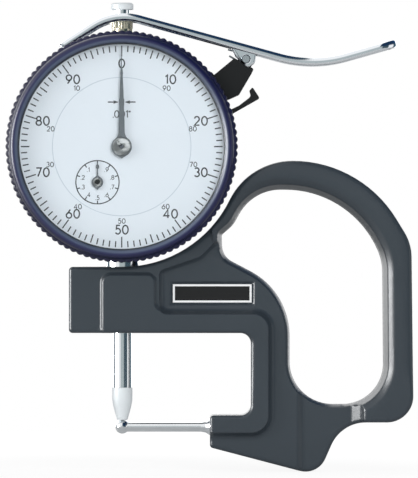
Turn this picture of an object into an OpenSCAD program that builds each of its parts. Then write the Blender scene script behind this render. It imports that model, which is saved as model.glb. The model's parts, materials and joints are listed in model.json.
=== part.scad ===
// Tube thickness gauge: a dial indicator clamped in a cast C-frame with a loop handle.
// +X runs towards the handle, +Y away from the dial's reader, +Z up along the spindle.
// The origin is the measuring point, the top of the anvil's ball under the spindle. Millimetres.

/* [Frame] */
// Reach of the throat from the spindle's axis to its wall
throat_depth = 31.7; // [28:0.1:36]
// Height of the throat between the two arms
throat_height = 20.2; // [18:0.1:24]
// Height of the anvil arm's top above the measuring point
arm_top = 1.3; // [0.8:0.1:2]
// Height of the anvil arm at its end
arm_height = 8; // [7:0.1:10]
// Distance of the anvil arm's end from the spindle's axis
arm_start = 21.6; // [18:0.1:24]
// Height of the block that holds the stem
block_height = 16.3; // [15:0.1:19]
// Length of the block past the spindle's axis
block_reach = 13.1; // [11:0.1:16]
// Thickness of the ribs and of the handle
rib_depth = 12; // [11.4:0.1:14]
// Thickness of the web between the ribs
web_depth = 7; // [5.5:0.1:9]
// Thickness of the bridge under the handle
bridge_depth = 4.8; // [3.5:0.1:5.4]
// Thickness of the block beside the stem pad
flange_depth = 10; // [9:0.1:11]
// Width of the rib round the throat
rib_width = 4.3; // [3:0.1:5.5]
// Distance of the handle's outer side from the spindle's axis
handle_reach = 71.5; // [68:0.1:78]
// Height of the handle's arch above the measuring point
handle_top = 63.9; // [61:0.1:68]
// Width of the handle's bar
handle_width = 7.1; // [5.8:0.1:7.8]
// Bevel round the frame's faces
edge_bevel = 0.8; // [0.4:0.1:0.9]
// Width of the bevel on the handle's inner edge
grip_bevel = 1.2; // [0.6:0.1:1.6]
// Width of the label
label_w = 19.4; // [12:0.1:20]
// Height of the label
label_h = 4.5; // [3:0.1:5]
// Thickness of the label
label_t = 0.35; // [0.2:0.05:0.45]

/* [Anvil] */
// Diameter of the anvil's ball
ball_d = 3.4; // [2.8:0.1:3.6]
// Diameter of the anvil's rod
rod_d = 2.4; // [2:0.1:2.6]
// Diameter of the anvil's shank in the frame
shank_d = 3.2; // [2.6:0.1:3.4]
// Length of the anvil's shank in the frame
shank_l = 7; // [5:0.1:8]

/* [Spindle] */
// Travel of the spindle
travel = 10.16; // [5:0.01:10.5]
// Diameter of the spindle
spindle_d = 4.6; // [4.4:0.1:4.8]
// Diameter of the spindle above its spring collar
spindle_top_d = 3.6; // [3:0.1:3.8]
// Diameter of the contact point
contact_d = 5; // [4.8:0.1:5.6]
// Length of the contact point
contact_l = 8; // [6:0.1:9]
// Diameter of the contact point's flat tip
tip_d = 2.6; // [1.6:0.1:3]
// Diameter of the spindle's cap
cap_d = 5.5; // [5:0.1:6]
// Diameter of the stem
stem_d = 8; // [7.5:0.1:8.4]
// Pitch of the rack's teeth
rack_pitch = 1.5875; // [1.5:0.0005:1.65]

/* [Dial] */
// Diameter of the bezel
bezel_d = 57; // [55:0.1:60]
// Scallops round the bezel
scallops = 100; // [80:1:130]
// Depth of a scallop
scallop_depth = 0.4; // [0.1:0.05:0.5]
// Diameter of the opening in the bezel
window_d = 49.4; // [46:0.1:50]
// Gap between the bezel and the frame's saddle
saddle_gap = 1; // [0.7:0.1:1.6]
// Outer diameter of the case
case_d = 52.6; // [51.8:0.1:53.2]
// Wall of the case
case_wall = 1.7; // [1.2:0.1:2]
// Diameter of the fixed inner dial
inner_dial_d = 33.8; // [30:0.1:36]
// Length of the main pointer from its centre
pointer_l = 24.4; // [20:0.1:24.6]
// Diameter of the pointer's hub
hub_d = 5; // [4:0.1:6]

/* [Gear train] */
// Teeth of the pinion on the rack
rack_pinion_teeth = 16; // [16:1:16]
// Teeth of the drive gear
drive_teeth = 100; // [80:10:100]
// Teeth of the centre pinion
centre_teeth = 10; // [10:1:10]
// Teeth of the take-up gear
takeup_teeth = 60; // [50:10:60]
// Module of the fine gears
fine_module = 0.192; // [0.18:0.001:0.195]
// Thickness of the fine gears
gear_t = 0.8; // [0.6:0.05:0.9]

/* [Lifting lever] */
// Width of the lever
lever_w = 8; // [7.4:0.1:9]
// Thickness of the lever's sheet
lever_t = 1.2; // [0.9:0.05:1.3]
// Distance of the lever's pivot from the spindle's axis
pivot_x = 30.5; // [29:0.1:32]
// Diameter of the lever's pin
pin_d = 1.8; // [1.4:0.1:2]
// Reach of the finger end from the pivot
finger_reach = 36.6; // [30:0.1:42]

/* [Bezel clamp] */
// Thickness of the clamp's arm
clamp_arm = 1.2; // [0.9:0.1:1.3]
// Angle of the clamp's pivot round the dial
clamp_angle = 17.5; // [14:0.5:20]

/* [Fits] */
// Radial clearance of running fits
run_gap = 0.03; // [0.02:0.005:0.05]
// Gap between moving pieces that don't touch
free_gap = 0.3; // [0.25:0.05:0.35]

/* [Hidden] */
$fn = 64;
eps = 0.01;

// Heights
throat_top = arm_top + throat_height;
block_top = throat_top + block_height;
bezel_r = bezel_d / 2;
case_r = case_d / 2;
bore_r = case_r - case_wall;
saddle_r = bezel_r + saddle_gap;
dial_z = block_top + saddle_r;
case_top = dial_z + case_r;
ball_z = -ball_d / 2;
stem_r = stem_d / 2;
spindle_r = spindle_d / 2;
spindle_top_r = spindle_top_d / 2;

// Depths, counted from the spindle's axis, negative towards the reader
rib_y = rib_depth / 2;
web_y = web_depth / 2;
flange_y = flange_depth / 2;
bridge_y = bridge_depth / 2;
case_back = 7.5;
cover_t = 2;
cover_back = case_back + cover_t;
bezel_back = -6.4;
neck_step = bezel_back + free_gap;
neck_front = -8.8;
dial_back = -9.2;
dial_t = 0.4;
dial_face = dial_back - dial_t;
crystal_back = -11.8;
crystal_t = 1.2;
crystal_front = crystal_back - crystal_t;
bezel_lip = 1.2;
bezel_front = crystal_front - bezel_lip;
plate_t = 0.8;
main_plate_back = -3.5;
main_plate_front = main_plate_back - plate_t;
gear_back = main_plate_front - 0.5;
gear_front = gear_back - gear_t;
front_plate_back = -7.1;
front_plate_front = front_plate_back - plate_t;
cock_front = 2.6;
rail_front = 3.6;
rail_t = 1.2;

// Frame outlines
saddle_turn = 63.8;
arch_slope = 58;
lobe_slope = 66;
slant = 14.7;
arm_bottom = arm_top - arm_height;
shoulder_z = 43.5;
foot_z = -0.5;
side_draft = 0.5;
saddle_end = [saddle_r * sin(saddle_turn), dial_z - saddle_r * cos(saddle_turn)];
arch_x = saddle_end[0] + (handle_top - saddle_end[1]) / tan(saddle_turn);
neck_room = (handle_top - saddle_end[1]) / sin(saddle_turn);
top_x = handle_reach - (handle_top - shoulder_z) / tan(arch_slope);
lobe_x = handle_reach - 17.4;
lobe_run = (foot_z - arm_bottom + (lobe_x - arm_start) * tan(slant))
    / (sin(lobe_slope) + cos(lobe_slope) * tan(slant));
corner_r = edge_bevel + 0.15;
throat_r = 2.6;
frame_corners = [
    [-block_reach, block_top, corner_r],
    [-block_reach, throat_top, corner_r],
    [throat_depth, throat_top, throat_r],
    [throat_depth, arm_top, throat_r],
    [arm_start, arm_top, corner_r],
    [arm_start, arm_bottom, corner_r],
    [lobe_x - lobe_run * cos(lobe_slope), foot_z - lobe_run * sin(lobe_slope), 5.3],
    [lobe_x, foot_z, 9.6],
    [handle_reach + side_draft / 2, foot_z, 6.5],
    [handle_reach - side_draft / 2, shoulder_z, 12],
    [top_x, handle_top, 30],
    [arch_x, handle_top, neck_room / tan(saddle_turn / 2)],
    [saddle_r * tan(saddle_turn / 2), block_top, saddle_r]
];

// Outline of the finger loop where it is narrowest, half-way through the frame
loop_right = handle_reach - handle_width;
loop_top = handle_top - handle_width;
loop_bottom = 3.95;
loop_left = throat_depth + rib_width + 5.3;
loop_shoulder = shoulder_z - 4.1;
neck_x = saddle_end[0] + 0.9;
neck_z = saddle_end[1] - 6.2;
ear_x = neck_x - 2.8;
loop_corners = [
    [ear_x, neck_z - 2.4, 0.9],
    [ear_x + 0.15, 40.35, 4.5],
    [loop_left, 40.35 - (loop_left - ear_x - 0.15) * tan(27.8), 18],
    [loop_left, loop_bottom, 10.5],
    [loop_right, loop_bottom, 10],
    [loop_right - 0.3, loop_shoulder, 14],
    [loop_right - 0.3 - (loop_top - loop_shoulder) / tan(66), loop_top, 25.2],
    [neck_x + (loop_top - neck_z) / tan(60.7), loop_top, 11.5],
    [neck_x, neck_z, 8]
];
loop_draft = 1.2;
grip_y = rib_y - 1.5;

// Recess of the web, open to the loop and to the bottom edge
rib_x = throat_depth + rib_width;
rib_top = throat_top + rib_width + 0.3;
rib_bottom = arm_top - rib_width;
recess_x = 8.8;
recess_top = block_top - 0.7;
below = arm_bottom - 12;
recess_corners = [
    [recess_x, rib_top, 2.5],
    [rib_x, rib_top, 3.6],
    [rib_x, rib_bottom, 4.2],
    [arm_start - 6, rib_bottom, 0.9],
    [arm_start - 6, below, 0.9],
    [loop_right - 8, below, 0.9],
    [loop_right - 8, loop_bottom + 14, 4],
    [loop_right - 18, loop_top - 12, 4],
    [ear_x + 1.2, neck_z - 2.6, 1],
    [ear_x - 1.6, neck_z - 3.6, 3],
    [ear_x - 5.6, block_top + 2.7, 3],
    [recess_x, recess_top, 2]
];

// Raised pad over the stem, bounded by the lower flange on its left, on its top and along the saddle
pad_left = -4.6;
pad_right = recess_x - 1;
pad_top = block_top - 2.2;
flange_corners = [
    [-block_reach - 3, throat_top - 3, 0.9],
    [pad_left, throat_top - 3, 0.9],
    [pad_left, pad_top, 1.8],
    [pad_right, pad_top, 1.6],
    [pad_right, rib_top + 0.6, 0.2],
    [recess_x + 3, rib_top + 0.6, 0.2],
    [ear_x - 3, neck_z - 8, 0.9],
    [ear_x - 1.4, neck_z - 4.4, 0.9],
    [ear_x - 3.6, neck_z + 2, 0.9],
    [-block_reach - 3, block_top + 3, 0.9]
];

// Bridge between the body and the handle
bridge_left = loop_left + 1.6;
bridge_right = loop_right - 4.5;

// Gears
rack_pinion_r = rack_pinion_teeth * rack_pitch / (2 * PI);
rack_module = rack_pitch / PI;
drive_r = drive_teeth * fine_module / 2;
centre_r = centre_teeth * fine_module / 2;
takeup_r = takeup_teeth * fine_module / 2;
train_angle = 55.8;
takeup_angle = train_angle - 360 / centre_teeth;
rack_arbor_x = -(drive_r + centre_r) * cos(train_angle);
rack_arbor_z = dial_z - (drive_r + centre_r) * sin(train_angle);
takeup_x = (takeup_r + centre_r) * cos(takeup_angle);
takeup_z = dial_z + (takeup_r + centre_r) * sin(takeup_angle);
pressure_angle = 20;
rack_line = rack_arbor_x + rack_pinion_r;
rack_backlash = 0.16;
fine_backlash = 0.17;
rack_first = -9;
rack_last = 3;
pinion_half = 1.6;
arbor_r = 0.6;
pivot_r = 0.35;
takeup_arbor_r = 0.5;

// Spindle stations
tip_gap = 0.02;
contact_top = tip_gap + contact_l;
stem_low = throat_top + 0.8;
stem_high = dial_z - bore_r + 1.4;
cap_z = case_top + 7.6;
lever_gap = 1.2;
cap_h = 1.7;
collar_z = dial_z + 6;
collar_h = 1.6;
collar_r = spindle_r + 1;
guide_z = dial_z + 1;
guide_pin_r = 0.75;
bush_flange = 1;
bush_top = cap_z - lever_gap - lever_t - free_gap;
bush_r = 2.6;
bush_low = dial_z + bore_r - bush_flange;

// Return spring round the spindle, from its collar to the upper bush
spring_wire = 0.4;
spring_r = spindle_top_r + 0.75;
spring_turns = 9;
spring_low = collar_z + collar_h + spring_wire / 2 + 0.05;
spring_high = bush_low - spring_wire / 2 - 0.05;

// Lever, hung from a bracket on the case: its top passes just under the cap
lever_fall = 15.3;
lever_rise = 33.4;
apex_r = 15;
apex_x = -2;
apex_z = cap_z - lever_gap + apex_r * (1 / cos((lever_rise + lever_fall) / 2) - 1);
function lever_line(x) = apex_z - (x - apex_x) * tan(lever_fall);
ear_r = 1.9;
ear_gap = 0.4;
pivot_z = lever_line(pivot_x) - (ear_r + ear_gap + lever_t) / cos(lever_fall);
pivot_pin_r = pin_d / 2;
valley_x = pivot_x + 16.5;
fork_x = -15.6;
finger_x = pivot_x + finger_reach;
finger_rise = 15.8;
lever_path = [
    [fork_x, apex_z - (apex_x - fork_x) * tan(lever_rise), 0],
    [apex_x, apex_z, apex_r],
    [valley_x, lever_line(valley_x), 30],
    [finger_x, lever_line(valley_x) + (finger_x - valley_x) * tan(finger_rise), 0]
];
slot_half = spindle_top_r + 0.35;
slot_end = 5.6;
cheek_t = 0.8;
cheek_y = lever_w / 2 - cheek_t;
bracket_y = cheek_y - free_gap;
ear_back = -0.2;

// Bezel clamp
clamp_hub_r = 1.1;
clamp_r = case_r + clamp_hub_r + 0.1;
clamp_x = clamp_r * cos(clamp_angle);
clamp_z = dial_z + clamp_r * sin(clamp_angle);
clamp_back = -3.6;
clamp_t = 2;
clamp_front = clamp_back - clamp_t;
clamp_screw_r = 0.6;
clamp_head_r = 1;
clamp_lean = 28.6;
clamp_reach = 7.85;
hook_l = 2.7;

// Fixings
lug_turns = [45, 135, 225, 315];
lug_radius = bore_r - 1.8;
case_lug_r = 2.2;
screw_r = 0.8;
screw_head_r = 1.5;
set_screw_r = 1.5;
anvil_screw_r = 1.25;
socket_af = 1.5;
hub_back = dial_face - 1;
pointer_t = 0.3;
hub_t = 0.7;

// Outlines with rounded corners: each corner is [x, z, radius]
function at(c, i) = c[(i + len(c)) % len(c)];
function flat(p) = [p[0], p[1]];
function heading(a, b) = atan2(b[1] - a[1], b[0] - a[0]);
function wrap(a) = a - 360 * floor((a + 180) / 360);
function turn(c, i) = wrap(heading(at(c, i), at(c, i + 1)) - heading(at(c, i - 1), at(c, i)));
function side(c, i) = norm(flat(at(c, i + 1)) - flat(at(c, i)));
function tangent(c, i) = at(c, i)[2] * tan(abs(turn(c, i)) / 2);
function share(c, i) = min(1, 0.999 * side(c, i) / (tangent(c, i) + tangent(c, i + 1) + eps));
function fitted(c, i) = at(c, i)[2] * min(share(c, i - 1), share(c, i));
function ray(a) = [cos(a), sin(a)];

// Points of the arc at one corner, moved inwards by inset on an outline that runs anticlockwise
function corner_arc(c, i, inset, step) =
    let (
        h = heading(at(c, i - 1), at(c, i)),
        a = turn(c, i),
        s = a < 0 ? -1 : 1,
        r = fitted(c, i),
        n = max(1, ceil(abs(a) / step)),
        centre = flat(at(c, i)) - r * tan(abs(a) / 2) * ray(h) + r * ray(h + 90 * s)
    )
    [for (k = [0:n]) centre + (r - s * inset) * ray(h + a * k / n - 90 * s)];
function outline(c, inset = 0, step = 9) =
    [for (i = [0:len(c) - 1]) each corner_arc(c, i, inset, step)];

// One edge of a bent strip along an open path, moved to its left by inset
function strip_edge(c, inset, step) =
    let (
        last = len(c) - 1,
        h0 = heading(c[0], c[1]),
        h1 = heading(c[last - 1], c[last])
    )
    concat(
        [flat(c[0]) + inset * ray(h0 + 90)],
        [for (i = [1:last - 1]) each corner_arc(c, i, inset, step)],
        [flat(c[last]) + inset * ray(h1 + 90)]
    );
function reversed(v) = [for (i = [len(v) - 1:-1:0]) v[i]];

// Solid between copies of an outline: each level is [y, inset], from the front to the back,
// or round a ring's section
module loft(c, levels, ring = false, step = 9) {
    rings = [for (l = levels) outline(c, l[1], step)];
    n = len(rings[0]);
    m = len(levels);
    points = [for (j = [0:m - 1]) for (p = rings[j]) [p[0], levels[j][0], p[1]]];
    walls = [
        for (j = [0:ring ? m - 1 : m - 2])
            for (i = [0:n - 1])
                let (k = (i + 1) % n, next = (j + 1) % m)
                [j * n + i, j * n + k, next * n + k, next * n + i]
    ];
    front = [for (i = [n - 1:-1:0]) i];
    back = [for (i = [0:n - 1]) (m - 1) * n + i];
    polyhedron(points, concat(walls, ring ? [] : [front, back]));
}

// Unbroken round tube along a list of points
function unit(v) = v / norm(v);
function along(p, i) = unit(p[min(i + 1, len(p) - 1)] - p[max(i - 1, 0)]);
module tube(path, r, ref, sides = 6) {
    n = len(path);
    points = [
        for (i = [0:n - 1])
            let (t = along(path, i), u = unit(cross(t, ref)), v = cross(t, u))
            for (k = [0:sides - 1])
                path[i] + r * (cos(360 * k / sides) * u + sin(360 * k / sides) * v)
    ];
    walls = [
        for (i = [0:n - 2])
            for (k = [0:sides - 1])
                let (a = i * sides + k, b = i * sides + (k + 1) % sides)
                each [[a, a + sides, b], [b, a + sides, b + sides]]
    ];
    first = [for (k = [1:sides - 2]) [0, k, k + 1]];
    last = [for (k = [1:sides - 2]) (n - 1) * sides * [1, 1, 1] + [0, k + 1, k]];
    polyhedron(points, concat(walls, first, last));
}

// Least gap between the surfaces of a tube's turns, on points at least skip apart along it
function self_gap(path, r, skip) =
    min([
        for (i = [0:len(path) - 1])
            for (j = [i + skip:1:len(path) - 1])
                norm(path[i] - path[j])
    ]) - 2 * r;

// Flat shapes in the X-Z plane carried from one depth to another
module slab(y0, y1) {
    translate([0, y1, 0])
        rotate([90, 0, 0])
            linear_extrude(y1 - y0)
                children();
}

// Round bar along Y through a point of the X-Z plane
module bar_y(x, z, r, y0, y1, sides = $fn) {
    translate([x, y1, z])
        rotate([90, 0, 0])
            cylinder(r = r, h = y1 - y0, $fn = sides);
}

// Profile of [radius, depth] points turned about the dial's axis
module turned(profile) {
    translate([0, 0, dial_z])
        rotate([-90, 0, 0])
            rotate_extrude($fn = 128)
                polygon(profile);
}

// Involute teeth: half-angle of a tooth at radius q, for pitch radius r and a thinning in mm
function involute(a) = tan(a) - a * PI / 180;
function half_tooth(q, r, teeth, thin) =
    let (base = r * cos(pressure_angle), a = acos(min(1, base / q)))
    90 / teeth - thin / (2 * r) * 180 / PI + (involute(pressure_angle) - involute(a)) * 180 / PI;
function gear_points(teeth, r, add, ded, thin, steps) =
    [
        for (t = [0:teeth - 1])
            let (low = r - ded, high = r + add)
            each concat(
                [
                    for (k = [0:steps])
                        let (q = low + (high - low) * k / steps)
                        q * ray(360 * t / teeth - half_tooth(q, r, teeth, thin))
                ],
                [
                    for (k = [steps:-1:0])
                        let (q = low + (high - low) * k / steps)
                        q * ray(360 * t / teeth + half_tooth(q, r, teeth, thin))
                ]
            )
    ];
module gear(x, z, spin, y0, y1, teeth, r, add, ded, thin, steps) {
    translate([x, 0, z])
        rotate([0, -spin, 0])
            slab(y0, y1)
                polygon(gear_points(teeth, r, add, ded, thin, steps));
}

// Screw along Y with a slotted head, its head towards the side given by dir
module slotted_screw(x, z, y_seat, dir, shank, head_t = 0.8, r = screw_r, head_r = screw_head_r) {
    translate([x, y_seat, z])
        rotate([-90 * dir, 0, 0])
            difference() {
                union() {
                    cylinder(r = head_r, h = head_t, $fn = 32);
                    translate([0, 0, -shank])
                        cylinder(r = r, h = shank + eps, $fn = 32);
                }
                translate([-head_r - 1, -0.2, 0.6 * head_t])
                    cube([2 * head_r + 2, 0.4, 1]);
            }
}

// Hexagon socket set screw along +Z, its point at the origin
module set_screw(r, length) {
    difference() {
        union() {
            cylinder(r1 = r - 0.5, r2 = r, h = 0.5, $fn = 32);
            translate([0, 0, 0.5])
                cylinder(r = r, h = length - 0.5, $fn = 32);
        }
        translate([0, 0, length - 1.4])
            cylinder(d = socket_af / cos(30), h = 2, $fn = 6);
    }
}

// Frame

module web_recess() {
    slab(-rib_y - 2, -web_y)
        polygon(outline(recess_corners));
}

module flange_step() {
    slab(-rib_y - 2, -flange_y)
        polygon(outline(flange_corners));
}

ramp_l = 3.5;
ledge_l = 1.35;
ledge_low = 1;
ledge_high = 0.75;
module bridge_valley() {
    translate([0, 0, below])
        linear_extrude(loop_bottom + 9 - below)
            polygon([
                [bridge_left, -web_y],
                [bridge_left + 1.6, -bridge_y],
                [bridge_right - ramp_l, -bridge_y],
                [bridge_right - ledge_l, -rib_y + ledge_low],
                [bridge_right, -rib_y + ledge_high],
                [bridge_right + 0.5, -rib_y],
                [bridge_right + 0.5, -rib_y - 2],
                [bridge_left, -rib_y - 2]
            ]);
}

// Ring that takes the bevel off the front edge, a little past both faces
bevel_over = 0.08;
module edge_ring() {
    loft(
        frame_corners,
        [
            [-rib_y - bevel_over, -bevel_over],
            [-rib_y + edge_bevel + bevel_over, -bevel_over],
            [-rib_y - bevel_over, edge_bevel + bevel_over]
        ],
        true
    );
}

module frame_cuts() {
    edge_ring();
    web_recess();
    flange_step();
    bridge_valley();
}

module frame() {
    color("#434a52")
        difference() {
            slab(-rib_y, rib_y)
                polygon(outline(frame_corners));
            loft(loop_corners, [
                [-rib_y - 1, -loop_draft - grip_bevel - 0.8],
                [-grip_y, -loop_draft],
                [0, 0],
                [grip_y, -loop_draft],
                [rib_y + 1, -loop_draft - grip_bevel - 0.8]
            ]);
            frame_cuts();
            mirror([0, 1, 0])
                frame_cuts();
            label_pocket();
            stem_bore();
            anvil_bore();
        }
}

// The label lies in a shallow pocket of the web's front face
label_x = throat_depth + 0.2 - label_w;
label_z = rib_top + 2.9;
pocket_edge = 0.5;
pocket_depth = 0.5;
module label_pocket() {
    translate([label_x - pocket_edge, -web_y - 1, label_z - pocket_edge])
        cube([label_w + 2 * pocket_edge, 1 + pocket_depth, label_h + 2 * pocket_edge]);
}

module label_plate() {
    color("#15171a")
        translate([label_x, -web_y + pocket_depth - label_t, label_z])
            cube([label_w, label_t, label_h]);
}

stem_screw_z = (throat_top + block_top) / 2;
stem_screw_l = 6;
module stem_bore() {
    translate([0, 0, throat_top - 1])
        cylinder(r = stem_r + run_gap / 2, h = block_height + 3);
    translate([-block_reach - 1, 0, stem_screw_z])
        rotate([0, 90, 0])
            cylinder(r = set_screw_r + run_gap, h = block_reach);
}

anvil_screw_x = arm_start + shank_l / 2;
module anvil_bore() {
    translate([arm_start - 1, 0, ball_z])
        rotate([0, 90, 0])
            cylinder(r = shank_d / 2 + run_gap / 2, h = shank_l + 1 + free_gap);
    bar_y(anvil_screw_x, ball_z, anvil_screw_r + run_gap, 0, rib_y + 1);
}

// Ball, rod, flare and shank turned from one bar
flare_l = 2.2;
flare_r = 2.1;
module anvil() {
    color("#d9dde0")
        union() {
            translate([0, 0, ball_z])
                sphere(d = ball_d, $fn = 96);
            translate([0, 0, ball_z])
                rotate([0, 90, 0])
                    rotate_extrude($fn = 96)
                        polygon([
                            [0, 0],
                            [rod_d / 2, 0],
                            [rod_d / 2, arm_start - flare_l],
                            [rod_d / 2 + 0.25, arm_start - flare_l + 1.2],
                            [flare_r, arm_start],
                            [shank_d / 2, arm_start],
                            [shank_d / 2, arm_start + shank_l],
                            [0, arm_start + shank_l]
                        ]);
        }
}

module anvil_set_screw() {
    color("#2b2d30")
        translate([anvil_screw_x, shank_d / 2 + 0.02, ball_z])
            rotate([-90, 0, 0])
                set_screw(anvil_screw_r, rib_y - shank_d / 2 - 0.8);
}

module stem_set_screw() {
    color("#2b2d30")
        translate([-stem_r - 0.02, 0, stem_screw_z])
            rotate([0, -90, 0])
                set_screw(set_screw_r, stem_screw_l);
}

// Case of the indicator: a ring with lugs inside, a neck for the bezel and bosses for the rail
neck_r = case_r - 0.5;
o_ring_d = 1.2;
o_ring_y = (neck_step + neck_front) / 2;
boss_w = 6;
boss_l = 5.4;
module case() {
    color("#a9adb2")
        difference() {
            union() {
                turned([
                    [bore_r, neck_front],
                    [neck_r, neck_front],
                    [neck_r, o_ring_y - o_ring_d / 2],
                    [neck_r - 0.6, o_ring_y - o_ring_d / 2],
                    [neck_r - 0.6, o_ring_y + o_ring_d / 2],
                    [neck_r, o_ring_y + o_ring_d / 2],
                    [neck_r, neck_step],
                    [case_r - 0.2, neck_step],
                    [case_r, neck_step + 0.4],
                    [case_r, case_back - 0.6],
                    [case_r - 0.6, case_back],
                    [bore_r, case_back]
                ]);
                intersection() {
                    union() {
                        for (a = lug_turns)
                            bar_y(
                                lug_radius * cos(a), dial_z + lug_radius * sin(a),
                                case_lug_r, main_plate_back, case_back
                            );
                        rail_bosses();
                        translate([0, 0, dial_z - case_r])
                            cylinder(r = stem_r + 1.2, h = case_wall + 1.2);
                    }
                    bar_y(0, dial_z, bore_r + 0.4, main_plate_back - 3, case_back);
                }
                clamp_boss();
            }
            translate([0, 0, dial_z - case_r - 1])
                cylinder(r = stem_r + run_gap / 2, h = case_wall + 5);
            translate([0, 0, dial_z])
                cylinder(r = bush_r + run_gap / 2, h = case_r + 2);
            for (a = lug_turns)
                bar_y(
                    lug_radius * cos(a), dial_z + lug_radius * sin(a),
                    screw_r + run_gap, main_plate_back - 1, case_back + 1
                );
            for (z = rail_screw_z)
                bar_y(0, z, screw_r + run_gap, rail_front, case_back - 0.8);
            bar_y(clamp_x, clamp_z, clamp_screw_r + run_gap, clamp_back - 1, 0.8);
            bracket_holes();
        }
}

// Boss on the case's side for the clamp's screw
module clamp_boss() {
    bar_y(clamp_x, clamp_z, clamp_hub_r, clamp_back + free_gap, 2);
    translate([0, 0, dial_z])
        rotate([0, -clamp_angle, 0])
            translate([bore_r + 0.4, clamp_back + free_gap, -clamp_hub_r])
                cube([clamp_r - bore_r - 0.4, 2 - clamp_back - free_gap, 2 * clamp_hub_r]);
}

rail_screw_z = [dial_z - bore_r + 3.4, dial_z + bore_r - 3.4];
module rail_bosses() {
    for (z = rail_screw_z)
        translate([-boss_w / 2, rail_front + rail_t, z - boss_l / 2 - (z < dial_z ? 2 : 0)])
            cube([boss_w, case_back - rail_front - rail_t, boss_l + 2]);
}

module stem() {
    color("#d5d8db")
        difference() {
            translate([0, 0, stem_low])
                cylinder(r = stem_r, h = stem_high - stem_low);
            translate([0, 0, stem_low - 1])
                cylinder(r = spindle_r + 0.7 + run_gap / 2, h = stem_high - stem_low + 2);
        }
}

module stem_bush() {
    color("#b08d4f")
        difference() {
            translate([0, 0, stem_low])
                cylinder(r = spindle_r + 0.7, h = stem_high - stem_low);
            translate([0, 0, stem_low - 1])
                cylinder(r = spindle_r + run_gap, h = stem_high - stem_low + 2);
        }
}

// Upper guide of the spindle, standing out of the case with a knurled head
knurl_teeth = 24;
knurl_l = 2;
module upper_bush() {
    color("#c9c2a8")
        difference() {
            union() {
                translate([0, 0, bush_low])
                    cylinder(r = bush_r + 0.8, h = bush_flange - 0.4);
                translate([0, 0, bush_low])
                    cylinder(r = bush_r, h = bush_top - knurl_l - bush_low);
                translate([0, 0, bush_top - knurl_l - eps])
                    linear_extrude(knurl_l + eps)
                        polygon([
                            for (k = [0:2 * knurl_teeth - 1])
                                (bush_r - 0.12 * (k % 2)) * ray(180 * k / knurl_teeth)
                        ]);
            }
            translate([0, 0, bush_low - 1])
                cylinder(r = spindle_top_r + run_gap, h = bush_top - bush_low + 2);
        }
}

// Back cover with its gasket and screws
gasket_t = 0.4;
cover_r = case_r - 0.8;
head_sink = 0.9;
module back_gasket() {
    color("#1d1d1f")
        difference() {
            bar_y(0, dial_z, cover_r, case_back, case_back + gasket_t, 128);
            bar_y(0, dial_z, bore_r - 0.6, case_back - 1, case_back + 1, 128);
            cover_holes();
        }
}

module cover_holes() {
    for (a = lug_turns)
        bar_y(
            lug_radius * cos(a), dial_z + lug_radius * sin(a),
            screw_r + 0.1, case_back - 1, cover_back + 1
        );
}

module back_cover() {
    color("#9da1a6")
        difference() {
            turned([
                [0, case_back + gasket_t],
                [cover_r, case_back + gasket_t],
                [cover_r, cover_back - 0.5],
                [cover_r - 0.5, cover_back],
                [0, cover_back]
            ]);
            cover_holes();
            for (a = lug_turns)
                bar_y(
                    lug_radius * cos(a), dial_z + lug_radius * sin(a),
                    screw_head_r + run_gap, cover_back - head_sink, cover_back + 1
                );
        }
}

module back_cover_screws() {
    color("#c8cbce")
        for (a = lug_turns)
            slotted_screw(
                lug_radius * cos(a), dial_z + lug_radius * sin(a),
                cover_back - head_sink, 1, cover_t - head_sink + 3.5
            );
}

// Bezel: a turned ring with a scalloped rim
window_r = window_d / 2;
seat_r = window_r + 0.6;
rim_front = -11.2;
collar_under = bezel_r - scallop_depth - 0.35;
module bezel() {
    color("#23264a")
        difference() {
            union() {
                turned([
                    [neck_r - 1, bezel_back],
                    [collar_under, bezel_back],
                    [collar_under, rim_front - 0.2],
                    [bezel_r - 1, rim_front - 1],
                    [bezel_r - 1.5, bezel_front + 0.2],
                    [bezel_r - 2, bezel_front],
                    [window_r + 0.9, bezel_front + 0.3],
                    [window_r, crystal_front],
                    [neck_r - 1, crystal_front]
                ]);
                translate([0, 0, dial_z])
                    slab(rim_front, bezel_back - 0.5)
                        polygon(scallop_points());
            }
            bar_y(0, dial_z, window_r, bezel_front - 1, bezel_back + 1, 128);
            bar_y(0, dial_z, seat_r, crystal_front, bezel_back + 1, 128);
            bar_y(0, dial_z, neck_r + run_gap + 0.1, dial_back + 0.1, bezel_back + 1, 128);
        }
}

// Rim of round scallops: the radius dips between neighbouring crests
scallop_steps = 4;
function scallop_points() =
    [
        for (k = [0:scallops * scallop_steps - 1])
            let (a = 360 * k / (scallops * scallop_steps))
            (bezel_r - scallop_depth * (1 - abs(cos(a * scallops / 2)))) * ray(a)
    ];

module bezel_o_ring() {
    color("#18181a")
        translate([0, 0, dial_z])
            rotate([-90, 0, 0])
                rotate_extrude($fn = 128)
                    translate([neck_r - 0.6 + 0.32, o_ring_y])
                        circle(r = 0.3, $fn = 24);
}

module crystal() {
    color("#eef4f8", 0.25)
        turned([
            [0, crystal_back],
            [seat_r - 0.05, crystal_back],
            [seat_r - 0.05, crystal_front],
            [window_r - 0.3, crystal_front],
            [window_r - 0.6, crystal_front - 0.25],
            [0, crystal_front - 0.25]
        ]);
}

module crystal_ring() {
    color("#1f2130")
        difference() {
            bar_y(0, dial_z, seat_r - 0.05, crystal_back, dial_face, 128);
            bar_y(0, dial_z, window_r + 0.2, crystal_back - 1, dial_face + 1, 128);
        }
}

// Dial in two parts: the graduated ring turns with the bezel, the inner disc stays with the case
inner_dial_r = inner_dial_d / 2;
module dial_ring() {
    color("#e6eef4")
        difference() {
            bar_y(0, dial_z, seat_r - 0.05, dial_face, dial_back, 128);
            bar_y(0, dial_z, inner_dial_r + 0.1, dial_face - 1, dial_back + 1, 128);
        }
}

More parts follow.
